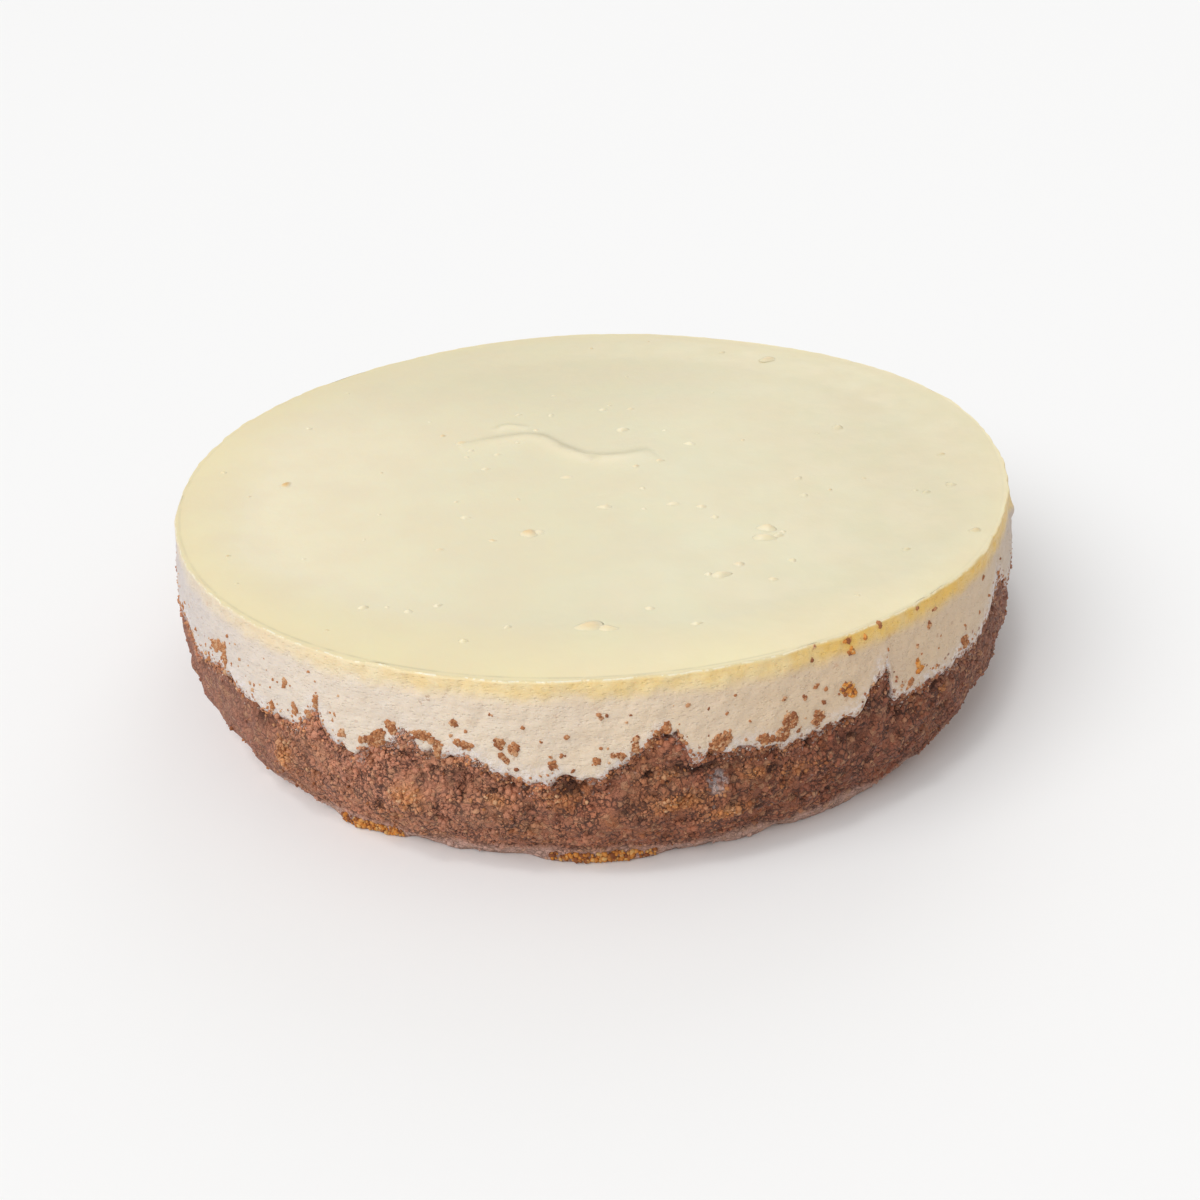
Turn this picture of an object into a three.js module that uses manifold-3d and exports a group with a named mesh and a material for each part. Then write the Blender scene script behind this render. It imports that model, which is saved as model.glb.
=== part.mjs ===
// A whole baked cheesecake: a thick base of pressed biscuit crumbs under a set cheese filling, whose
// skin is baked pale yellow. It was turned out of a round tin, so the side shows the ragged line
// where the filling ran down between the crumbs. Millimetres, +Z up. The origin is the middle of the
// flat underside, and -Y is the front.
import * as THREE from "three";
import { mergeVertices } from "three/addons/utils/BufferGeometryUtils.js";
import Module from "manifold-3d";

const wasm = await Module();
wasm.setup();

// Driving sizes
const TIN_RADIUS = 100;
const TOP_RADIUS = 97;
const FOOT_RADIUS = 93.5;
const HEIGHT = 43;
const WIDEST_HEIGHT = 16.7;
const LAYER_GAP = 0.3;
const DEGREE = Math.PI / 180;

// How far the outline swells from a circle, each entry one wave round the cake
const OUTLINE_WAVES = [
  { waves: 2, swell: 0.3, phase: 0 },
  { waves: 3, swell: 0.4, phase: 38 },
  { waves: 4, swell: 0.3, phase: 0 },
  { waves: 5, swell: 0.45, phase: -12 },
  { waves: 6, swell: 0.2, phase: -72 },
];

// The crumb base's edge at the side: its usual height, and the peaks and dips of the front half. Each
// spreads over so many degrees, or on its later side over its fall where that is given.
const CRUMB_EDGE = 25;
const EDGE_RIPPLE = 0.9;
const EDGE_RIPPLES_ROUND = 110;
const FRONT_PEAKS = [
  { at: -153, rise: 3.5, spread: 4 },
  { at: -139.5, rise: 4, spread: 3.4 },
  { at: -122.5, rise: 5, spread: 1.6 },
  { at: -117.5, rise: -2.5, spread: 1.8 },
  { at: -111, rise: 5.2, spread: 2 },
  { at: -105, rise: 2, spread: 2.2 },
  { at: -97.5, rise: -3, spread: 3.2 },
  { at: -91.5, rise: -1.6, spread: 2.6 },
  { at: -84, rise: 7.2, spread: 2.6 },
  { at: -57.2, rise: 7.6, spread: 2.6, fall: 0.7 },
  { at: -31, rise: 6, spread: 4.5 },
];
const BACK_PEAKS = { first: -14, last: 194, count: 20, jitter: 3.4, lowest: -2.4, highest: 7.4 };
const BACK_SPREAD = { narrowest: 1.5, widest: 4 };

// How far in from the side the ragged edge reaches before the layers meet in a level plane
const EDGE_KEEP = 2.5;
const EDGE_FADE = 14;

// Relief of the crumb side: crags all over, lumps that stand out and pits where crumbs fell away
const CRUMB_RECESS = 0.5;
const CRAG_DEPTH = 0.8;
const CRAG_COLUMNS = 130;
const CRAG_ROW_HEIGHT = 4.5;
const LUMPS = [
  { at: -111, height: 16.5, out: 1.3, wide: 2.2, tall: 4 },
  { at: -128, height: 15, out: 1, wide: 2.4, tall: 3 },
  { at: -88, height: 13.5, out: 0.7, wide: 3, tall: 3 },
  { at: -51, height: 19, out: 1, wide: 1, tall: 1.6 },
  { at: -133, height: 23.5, out: -2, wide: 1.8, tall: 2 },
  { at: -103.5, height: 21.5, out: -1.8, wide: 1.7, tall: 2 },
  { at: -92, height: 21.5, out: -1.4, wide: 2, tall: 1.6 },
  { at: -78, height: 21, out: -1.6, wide: 2.4, tall: 2.2 },
  { at: -62, height: 22, out: -1.3, wide: 2.2, tall: 2 },
];
const BACK_LUMPS = { first: -20, last: 200, count: 26, low: 6, high: 21, most: 1.6 };
const LUMP_SIZE = { wide: 2.2, tall: 2.8 };

// Crumbs squeezed out at the very bottom, in short stretches
const LIP_OUT = 1.5;
const LIP_HEIGHT = 2.2;
const LIPS = [
  { at: -90.5, half: 7 },
  { at: -119.5, half: 5 },
  { at: 20, half: 6 },
  { at: 95, half: 9 },
  { at: 160, half: 5 },
];

// The filling: a soft raised shoulder round a slightly sunken middle, and a small torn flake of skin
const DISH_DEPTH = 1.1;
const SHOULDER_WIDTH = 22;
const SHOULDER_CREST = 4;
const RIM_ROUNDING = 0.7;
const SIDE_RIPPLE = 0.25;
const SIDE_RIPPLES_ROUND = 70;
const TORN_FLAKE = { at: -17.5, height: 38.5, out: 1.1, wide: 1.3, tall: 3.2 };

// The crease in the skin, from its left end to its right end, and the largest baked blisters
const CREASE_PATH = [
  [-33, 13],
  [-23, 16.4],
  [-14, 16.6],
  [-8, 9],
  [-1, 2.3],
  [7, 1.8],
  [15, 5],
];
const CREASE = { width: 3.6, rise: 0.8, steps: 24, sunk: 1.2 };
const BLISTERS = [
  { x: -1.5, y: -78, long: 4.6, deep: 2.6, rise: 0.6 },
  { x: 2.6, y: -79.4, long: 2.6, deep: 1.8, rise: 0.45 },
  { x: -14, y: -38, long: 3.6, deep: 3, rise: 0.6 },
  { x: 36.8, y: -40, long: 3, deep: 2.6, rise: 0.6 },
  { x: 35.6, y: -44.6, long: 3.4, deep: 2.4, rise: 0.55 },
  { x: 25, y: -59.6, long: 3, deep: 2.2, rise: 0.5 },
  { x: 79, y: -46, long: 3.2, deep: 2.4, rise: 0.5 },
];

// Facets: points round the rim, rows up the side of each layer as shares of its height, and the rings
// that close a level face with fewer and fewer points
const RIM_POINTS = 240;
const CRUMB_ROWS = [0.25, 0.45, 0.65, 0.84, 1];
const FILLING_ROWS = [0, 0.3, 0.65, 1];
const INNER_RINGS = [
  { points: RIM_POINTS / 2, share: 0.86 },
  { points: RIM_POINTS / 4, share: 0.62 },
  { points: RIM_POINTS / 8, share: 0.32 },
];
const TOP_RINGS = [
  { points: RIM_POINTS / 2, share: 0.9 },
  { points: RIM_POINTS / 2, share: 0.83 },
  { points: RIM_POINTS / 2, share: 0.77 },
  { points: RIM_POINTS / 4, share: 0.56 },
  { points: RIM_POINTS / 8, share: 0.3 },
];

// A number from 0 to 1 that looks random but is the same for the same two whole numbers and seed
function scatter(column, row = 0, seed = 0) {
  const wide = Math.sin(column * 12.9898 + row * 78.233 + seed * 37.719) * 43758.5453;
  return wide - Math.floor(wide);
}

const smooth = (share) => share * share * (3 - 2 * share);
const clamp01 = (value) => Math.min(1, Math.max(0, value));
const mix = (low, high, share) => low + (high - low) * share;

// Smooth noise from -1 to 1 round the cake, with a whole number of columns so that it joins up
function noiseRound(angle, row, columns, seed) {
  const along = ((((angle / (2 * Math.PI)) % 1) + 1) % 1) * columns;
  const column = Math.floor(along);
  const lower = Math.floor(row);
  const corner = (c, r) => scatter(c % columns, r, seed);
  const across = smooth(along - column);
  const low = mix(corner(column, lower), corner(column + 1, lower), across);
  const high = mix(corner(column, lower + 1), corner(column + 1, lower + 1), across);
  return 2 * mix(low, high, smooth(row - lower)) - 1;
}

// The smallest turn from one angle in degrees to another
const turnBetween = (a, b) => ((((a - b + 180) % 360) + 360) % 360) - 180;
const bell = (distance, spread) => Math.exp(-((distance / spread) ** 2));

function backPeaks() {
  const peaks = [];
  for (let i = 0; i < BACK_PEAKS.count; i++) {
    const evenly = mix(BACK_PEAKS.first, BACK_PEAKS.last, i / (BACK_PEAKS.count - 1));
    peaks.push({
      at: evenly + (scatter(i, 0, 5) - 0.5) * 2 * BACK_PEAKS.jitter,
      rise: mix(BACK_PEAKS.lowest, BACK_PEAKS.highest, scatter(i, 0, 6)),
      spread: mix(BACK_SPREAD.narrowest, BACK_SPREAD.widest, scatter(i, 0, 7)),
    });
  }
  return peaks;
}

function backLumps() {
  const lumps = [];
  for (let i = 0; i < BACK_LUMPS.count; i++) {
    lumps.push({
      at: mix(BACK_LUMPS.first, BACK_LUMPS.last, scatter(i, 0, 8)),
      height: mix(BACK_LUMPS.low, BACK_LUMPS.high, scatter(i, 0, 9)),
      out: mix(-BACK_LUMPS.most, BACK_LUMPS.most, scatter(i, 0, 10)),
      ...LUMP_SIZE,
    });
  }
  return lumps;
}

const ALL_PEAKS = [...FRONT_PEAKS, ...backPeaks()];
const ALL_LUMPS = [...LUMPS, ...backLumps()];

// The height of the crumbs' edge at the side
function crumbEdge(angle) {
  const degrees = angle / DEGREE;
  let height = CRUMB_EDGE + EDGE_RIPPLE * noiseRound(angle, 0, EDGE_RIPPLES_ROUND, 40);
  for (const peak of ALL_PEAKS) {
    const turn = turnBetween(degrees, peak.at);
    height += peak.rise * bell(turn, turn > 0 ? (peak.fall ?? peak.spread) : peak.spread);
  }
  return height;
}

// The surface between the layers, at a distance in from the side
function layerHeight(angle, inward) {
  const kept = 1 - smooth(clamp01((inward - EDGE_KEEP) / (EDGE_FADE - EDGE_KEEP)));
  return mix(CRUMB_EDGE, crumbEdge(angle), kept);
}

// The side's plain radius: out from the foot to the widest ring, then slightly in to the top
function sideRadius(angle, height) {
  const below = clamp01(height / WIDEST_HEIGHT);
  const above = clamp01((height - WIDEST_HEIGHT) / (HEIGHT - WIDEST_HEIGHT));
  let radius =
    height < WIDEST_HEIGHT
      ? mix(FOOT_RADIUS, TIN_RADIUS, Math.sin((below * Math.PI) / 2))
      : mix(TOP_RADIUS, TIN_RADIUS, Math.cos((above * Math.PI) / 2));
  for (const wave of OUTLINE_WAVES) radius += wave.swell * Math.sin(wave.waves * angle + wave.phase * DEGREE);
  return radius;
}

// A lump or pit at a place on the side, as a soft bump in angle and height
function lumpOut(lump, angle, height) {
  const across = turnBetween(angle / DEGREE, lump.at);
  return lump.out * bell(across, lump.wide) * bell(height - lump.height, lump.tall);
}

function crumbRadius(angle, height) {
  const crags = noiseRound(angle, height / CRAG_ROW_HEIGHT, CRAG_COLUMNS, 3);
  let radius = sideRadius(angle, height) - CRUMB_RECESS + CRAG_DEPTH * crags;
  for (const lump of ALL_LUMPS) radius += lumpOut(lump, angle, height);
  for (const lip of LIPS) {
    const along = clamp01(1.5 - Math.abs(turnBetween(angle / DEGREE, lip.at)) / lip.half);
    radius += LIP_OUT * smooth(along) * clamp01(1 - height / LIP_HEIGHT);
  }
  return radius;
}

function fillingRadius(angle, height) {
  const ripple = SIDE_RIPPLE * noiseRound(angle, 0, SIDE_RIPPLES_ROUND, 90);
  return sideRadius(angle, height) + ripple + lumpOut(TORN_FLAKE, angle, height);
}

// The skin's height, at a distance in from the rim
function skinHeight(inward) {
  const share = clamp01((inward - SHOULDER_CREST) / (SHOULDER_WIDTH - SHOULDER_CREST));
  return HEIGHT - DISH_DEPTH * smooth(share);
}

// A ring of points, from a function of the angle that gives a radius and a height
function ring(points, place) {
  return Array.from({ length: points }, (_, i) => {
    const angle = (i / points) * 2 * Math.PI;
    const { radius, height } = place(angle);
    return [radius * Math.cos(angle), radius * Math.sin(angle), height];
  });
}

// A closed surface through a stack of rings, from a first point to a last point. A ring has as many
// points as its neighbour, half as many or twice as many. Diagonals between equal rings alternate, so
// that the relief leans neither way.
function ringSolid(first, rings, last) {
  const vertices = [first, ...rings.flat(), last];
  const faces = [];
  let start = 1;
  rings[0].forEach((_, i) => faces.push([0, start + ((i + 1) % rings[0].length), start + i]));
  for (let r = 0; r + 1 < rings.length; r++) {
    const lower = rings[r].length;
    const upper = rings[r + 1].length;
    const a = (i) => start + (i % lower);
    const b = (i) => start + lower + (i % upper);
    for (let i = 0; i < Math.min(lower, upper); i++) {
      if (lower === upper && (i + r) % 2 === 0) {
        faces.push([a(i), a(i + 1), b(i + 1)], [a(i), b(i + 1), b(i)]);
      } else if (lower === upper) {
        faces.push([a(i), a(i + 1), b(i)], [a(i + 1), b(i + 1), b(i)]);
      } else if (lower > upper) {
        faces.push([a(2 * i), a(2 * i + 1), b(i)], [a(2 * i + 1), b(i + 1), b(i)]);
        faces.push([a(2 * i + 1), a(2 * i + 2), b(i + 1)]);
      } else {
        faces.push([a(i), b(2 * i + 1), b(2 * i)], [a(i), a(i + 1), b(2 * i + 1)]);
        faces.push([a(i + 1), b(2 * i + 2), b(2 * i + 1)]);
      }
    }
    start += lower;
  }
  const top = rings.at(-1).length;
  for (let i = 0; i < top; i++) faces.push([start + i, start + ((i + 1) % top), start + top]);
  const geometry = new THREE.BufferGeometry();
  geometry.setAttribute("position", new THREE.Float32BufferAttribute(vertices.flat(), 3));
  geometry.setIndex(faces.flat());
  return geometry;
}

// The rings that close a face inwards from the rim, with fewer points towards the middle
function innerRings(heightAt, rings = INNER_RINGS) {
  return rings.map(({ points, share }) =>
    ring(points, (angle) => {
      const radius = sideRadius(angle, HEIGHT) * share;
      return { radius, height: heightAt(angle, sideRadius(angle, HEIGHT) - radius) };
    }),
  );
}

// The ring where the two layers' shared surface stops being level across its edge
function keepRing(heightAt) {
  return ring(RIM_POINTS, (angle) => {
    const radius = sideRadius(angle, HEIGHT) - EDGE_KEEP;
    return { radius, height: heightAt(angle, EDGE_KEEP) };
  });
}

function crumbBase() {
  const underside = innerRings(() => 0).reverse();
  const side = [0, LIP_HEIGHT * 0.4, LIP_HEIGHT].map((height) =>
    ring(RIM_POINTS, (angle) => ({ radius: crumbRadius(angle, height), height })),
  );
  for (const share of CRUMB_ROWS) {
    side.push(
      ring(RIM_POINTS, (angle) => {
        const height = crumbEdge(angle) * share;
        return { radius: crumbRadius(angle, height), height };
      }),
    );
  }
  const top = [keepRing(layerHeight), ...innerRings(layerHeight)];
  return ringSolid([0, 0, 0], [...underside, ...side, ...top], [0, 0, CRUMB_EDGE]);
}

function fillingBody() {
  const above = (angle, inward) => layerHeight(angle, inward) + LAYER_GAP;
  const shoulder = HEIGHT - RIM_ROUNDING;
  const side = FILLING_ROWS.map((share) =>
    ring(RIM_POINTS, (angle) => {
      const height = mix(crumbEdge(angle) + LAYER_GAP, shoulder, share);
      return { radius: fillingRadius(angle, height), height };
    }),
  );
  const rim = [
    ring(RIM_POINTS, (angle) => ({
      radius: fillingRadius(angle, HEIGHT) - RIM_ROUNDING * 0.3,
      height: HEIGHT - RIM_ROUNDING * 0.3,
    })),
    ring(RIM_POINTS, (angle) => ({ radius: sideRadius(angle, HEIGHT) - RIM_ROUNDING, height: HEIGHT })),
    ring(RIM_POINTS, (angle) => ({ radius: sideRadius(angle, HEIGHT) - SHOULDER_CREST, height: HEIGHT })),
  ];
  const bottom = [...innerRings(above).reverse(), keepRing(above)];
  const top = innerRings((angle, inward) => skinHeight(inward), TOP_RINGS);
  const middle = HEIGHT - DISH_DEPTH;
  return ringSolid([0, 0, CRUMB_EDGE + LAYER_GAP], [...bottom, ...side, ...rim, ...top], [0, 0, middle]);
}

// The crease: a low ridge of skin that tapers to nothing at both ends
function creaseRidge() {
  const points = CREASE_PATH.map(([x, y]) => new THREE.Vector3(x, y, HEIGHT - DISH_DEPTH));
  const path = new THREE.CatmullRomCurve3(points);
  const rings = [];
  for (let i = 1; i < CREASE.steps; i++) {
    const share = i / CREASE.steps;
    const centre = path.getPointAt(share);
    const along = path.getTangentAt(share);
    const full = Math.sqrt(Math.sin(share * Math.PI));
    const across = (CREASE.width / 2) * full;
    const outline = [
      [-across, -CREASE.sunk],
      [across, -CREASE.sunk],
      [across, 0],
      [across * 0.45, CREASE.rise * full * 0.8],
      [0, CREASE.rise * full],
      [-across * 0.45, CREASE.rise * full * 0.8],
      [-across, 0],
    ];
    rings.push(outline.map(([side, up]) => [centre.x - along.y * side, centre.y + along.x * side, centre.z + up]));
  }
  const end = (share) => {
    const tip = path.getPointAt(share);
    return [tip.x, tip.y, tip.z - CREASE.sunk / 2];
  };
  return ringSolid(end(0), rings, end(1));
}

// A blister: the cap of a flattened ball that stands out of the skin
function blisterCap({ x, y, long, deep, rise }) {
  const ball = new THREE.SphereGeometry(1, 12, 8);
  ball.rotateX(Math.PI / 2);
  ball.scale(long / 2, deep / 2, rise * 2);
  const inward = TOP_RADIUS - Math.hypot(x, y);
  ball.translate(x, y, skinHeight(inward) - rise);
  return ball;
}

// A closed geometry as a solid that can be joined
function solidOf(geometry) {
  const bare = geometry.clone();
  bare.deleteAttribute("normal");
  bare.deleteAttribute("uv");
  const merged = mergeVertices(bare, 1e-4);
  return new wasm.Manifold(
    new wasm.Mesh({
      numProp: 3,
      vertProperties: new Float32Array(merged.attributes.position.array),
      triVerts: new Uint32Array(merged.index.array),
    }),
  );
}

function geometryOf(solid) {
  const mesh = solid.getMesh();
  const geometry = new THREE.BufferGeometry();
  geometry.setAttribute("position", new THREE.BufferAttribute(mesh.vertProperties, 3));
  geometry.setIndex(new THREE.BufferAttribute(mesh.triVerts, 1));
  return geometry;
}

function cheeseFilling() {
  let solid = solidOf(fillingBody()).add(solidOf(creaseRidge()));
  for (const blister of BLISTERS) solid = solid.add(solidOf(blisterCap(blister)));
  return geometryOf(solid);
}

const crumbMaterial = new THREE.MeshStandardMaterial({ color: 0x94694f, roughness: 0.9, metalness: 0 });
const fillingMaterial = new THREE.MeshStandardMaterial({ color: 0xeee3c2, roughness: 0.45, metalness: 0 });

function piece(name, geometry, material) {
  geometry.computeVertexNormals();
  const mesh = new THREE.Mesh(geometry, material);
  mesh.name = name;
  return mesh;
}

const cheesecake = new THREE.Group();
cheesecake.add(piece("crumb_base", crumbBase(), crumbMaterial));
cheesecake.add(piece("cheese_filling", cheeseFilling(), fillingMaterial));

export default cheesecake;
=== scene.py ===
"""The looks of a whole baked cheesecake on a pale floor.

Two layers show at the side: pressed biscuit crumbs below, with a ragged upper edge, and a set cheese
filling above, whose skin is baked pale yellow. Lengths are millimetres inside the classes, and meshes
are put in metres. The frame's origin is the middle of the flat underside, +Z is up and -Y the front.
"""

from __future__ import annotations

import logging
import math
from collections.abc import Iterable
from dataclasses import dataclass, field
from enum import Enum

import bpy
import numpy as np
from mathutils import Matrix, Vector


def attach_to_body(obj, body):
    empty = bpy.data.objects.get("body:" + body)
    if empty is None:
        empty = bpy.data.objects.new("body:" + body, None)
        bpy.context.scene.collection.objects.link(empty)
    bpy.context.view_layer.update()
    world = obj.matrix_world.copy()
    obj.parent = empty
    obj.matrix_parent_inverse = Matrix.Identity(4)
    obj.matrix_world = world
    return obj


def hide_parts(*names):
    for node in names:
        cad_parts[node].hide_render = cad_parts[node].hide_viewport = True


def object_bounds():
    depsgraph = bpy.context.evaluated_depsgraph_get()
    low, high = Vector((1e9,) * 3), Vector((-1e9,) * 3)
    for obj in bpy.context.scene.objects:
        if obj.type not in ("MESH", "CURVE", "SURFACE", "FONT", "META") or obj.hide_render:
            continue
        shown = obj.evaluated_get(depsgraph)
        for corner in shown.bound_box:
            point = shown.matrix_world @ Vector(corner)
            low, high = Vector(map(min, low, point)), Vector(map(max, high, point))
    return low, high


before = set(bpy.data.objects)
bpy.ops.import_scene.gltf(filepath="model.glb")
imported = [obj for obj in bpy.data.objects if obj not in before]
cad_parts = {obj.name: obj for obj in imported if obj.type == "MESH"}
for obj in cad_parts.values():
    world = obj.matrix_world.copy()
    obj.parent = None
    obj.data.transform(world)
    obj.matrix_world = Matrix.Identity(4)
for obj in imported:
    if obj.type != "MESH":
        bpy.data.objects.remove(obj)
CAD_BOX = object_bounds()

MM = 0.001
TURN = 2 * math.pi
BODY = "root"
log = logging.getLogger("cheesecake")


class Shade(Enum):
    """The cake's colours, as sRGB hex."""

    BISCUIT = "#e7926b"
    BISCUIT_TAN = "#d48f58"
    BISCUIT_OLIVE = "#a5774b"
    # Pink of pressed crumbs, also laid on as painted light at the overhung foot and in two patches.
    BISCUIT_PINK = "#dcb3a3"
    # Multiplied over the biscuit as painted shade: its right side and its pressed parts.
    BISCUIT_SIDE_SHADE = "#c0b7be"
    BISCUIT_PLUM = "#9f614e"
    BISCUIT_AMBER = "#c67634"
    # Painted shade: near-black brown laid into the biscuit's grain gaps, crevices and hollows.
    BISCUIT_PAINTED_SHADE = "#3d221a"
    BISCUIT_MILKY = "#bfa79d"
    CRUMB_LIGHT = "#cf9d77"
    CRUMB_DARK = "#754330"
    CRUMB_TAN = "#f0a159"
    CRUMB_GOLD = "#b87b4f"
    CRUMB_AMBER = "#8d5536"
    CRUMB_HONEY = "#dd9040"
    CRUMB_STRAW = "#d6ae88"
    SKIN = "#ded7b6"
    # Painted light on the skin: its left side, in front of the crease and its fold, and on the blisters.
    SKIN_LIT = "#f0e5c6"
    SKIN_YELLOW = "#e9dcae"
    SKIN_GREEN = "#dad7ba"
    # Painted shade on the skin's right and back.
    SKIN_SHADE = "#d2c9a6"
    SKIN_SPOT = "#dcb070"
    # Painted shade behind the crease and its fold, and a thin grey line just inside the rim.
    SKIN_LINE_SHADE = "#c4bb98"
    GLINT = "#f6f1dc"
    BAND = "#eedcae"
    BAND_DEEP = "#ebc062"
    WHITE = "#ebdbc5"
    WHITE_WARM = "#e0c9ab"
    # Painted shade, tan, on the side's front right.
    WHITE_TAN_SHADE = "#d6b997"
    # Cool grey-lavender: a real tone in clouds and smears, and the colour of painted cool light and shade on the side.
    WHITE_COOL = "#c1babb"
    WHITE_SEEP = "#b5a39f"
    WHITE_FROTH = "#ece6e9"
    FLOOR = "#f1f1f1"

    def linear(self) -> tuple[float, float, float, float]:
        """The colour as the linear values that a shader socket takes.

        Returns:
            Red, green, blue and an alpha of 1.
        """
        parts = [int(self.value[i : i + 2], 16) / 255 for i in (1, 3, 5)]
        red, green, blue = (p / 12.92 if p <= 0.04045 else ((p + 0.055) / 1.055) ** 2.4 for p in parts)
        return red, green, blue, 1.0


def scatter(column: np.ndarray, row: np.ndarray | float = 0.0, seed: float = 0.0) -> np.ndarray:
    """Hash: the fraction of a large sine, which is the same for the same whole numbers.

    Args:
        column: Whole numbers.
        row: Whole numbers that match them.
        seed: Picks one of many such fields.

    Returns:
        Numbers from 0 to 1.
    """
    wide = np.sin(column * 12.9898 + row * 78.233 + seed * 37.719) * 43758.5453
    return wide - np.floor(wide)


def ease(share: np.ndarray) -> np.ndarray:
    """The smooth step 3s^2 - 2s^3 of a share that is first kept between 0 and 1."""
    kept = np.clip(share, 0, 1)
    return kept * kept * (3 - 2 * kept)


def blend(low: np.ndarray | float, high: np.ndarray | float, share: np.ndarray | float) -> np.ndarray:
    """The value that lies a share of the way from low to high."""
    return low + (high - low) * share


def bell(distance: np.ndarray, spread: np.ndarray | float) -> np.ndarray:
    """The bell curve exp(-(d/s)^2)."""
    return np.exp(-((distance / spread) ** 2))


def turn_between(degrees: np.ndarray, at: float | np.ndarray) -> np.ndarray:
    """The smallest turn from one angle to another, in degrees from -180 to 180."""
    return (degrees - at + 180) % 360 - 180


def noise_round(angle: np.ndarray, row: np.ndarray | float, columns: int, seed: float) -> np.ndarray:
    """Value noise on a drum: corners hashed from whole columns and rows, eased between.

    Args:
        angle: Angles round the cake, in radians.
        row: Heights in rows.
        columns: Corners round the drum, so that the noise joins up.
        seed: Picks one of many such fields.

    Returns:
        Numbers from -1 to 1.
    """
    along = (angle / TURN) % 1.0 * columns
    row = np.broadcast_to(row, np.broadcast_shapes(np.shape(along), np.shape(row)))
    column, lower = np.floor(along), np.floor(row)
    across, up = ease(along - column), ease(row - lower)
    low = blend(scatter(column % columns, lower, seed), scatter((column + 1) % columns, lower, seed), across)
    high = blend(scatter(column % columns, lower + 1, seed), scatter((column + 1) % columns, lower + 1, seed), across)
    return 2 * blend(low, high, up) - 1


def cells_round(angle: np.ndarray, row: np.ndarray, columns: int, seed: float) -> tuple[np.ndarray, np.ndarray]:
    """Crumb-like cells on a drum: the distance to the nearest of one hashed point in each square.

    Args:
        angle: Angles round the cake, in radians.
        row: Heights in rows, each as tall as a column is wide.
        columns: Squares round the drum.
        seed: Picks one of many such fields.

    Returns:
        The dome 1 - d^2 of each cell, kept above 0, and a number from 0 to 1 that each cell has as its own.
    """
    along = (angle / TURN) % 1.0 * columns
    along, row = np.broadcast_arrays(along, row)
    nearest = np.full(along.shape, 9.0)
    tone = np.zeros(along.shape)
    for step_along in (-1, 0, 1):
        for step_up in (-1, 0, 1):
            column = np.floor(along) + step_along
            level = np.floor(row) + step_up
            point_along = column + scatter(column % columns, level, seed)
            point_up = level + scatter(column % columns, level, seed + 1)
            distance = (along - point_along) ** 2 + (row - point_up) ** 2
            closer = distance < nearest
            nearest = np.where(closer, distance, nearest)
            tone = np.where(closer, scatter(column % columns, level, seed + 2), tone)
    return np.clip(1 - nearest, 0, 1), tone


@dataclass(frozen=True)
class Peak:
    """A peak or dip of the crumbs' edge: its angle, rise and spread, and its fall on the later side."""

    at: float
    rise: float
    spread: float
    fall: float | None = None


@dataclass(frozen=True)
class Lump:
    """A lump or pit of the side: its angle, height, reach outwards, and size in degrees and millimetres."""

    at: float
    height: float
    out: float
    wide: float
    tall: float

    def reach(self, degrees: np.ndarray, height: np.ndarray) -> np.ndarray:
        """How far the lump stands out at a place, as one bell times another."""
        return self.out * bell(turn_between(degrees, self.at), self.wide) * bell(height - self.height, self.tall)


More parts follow.
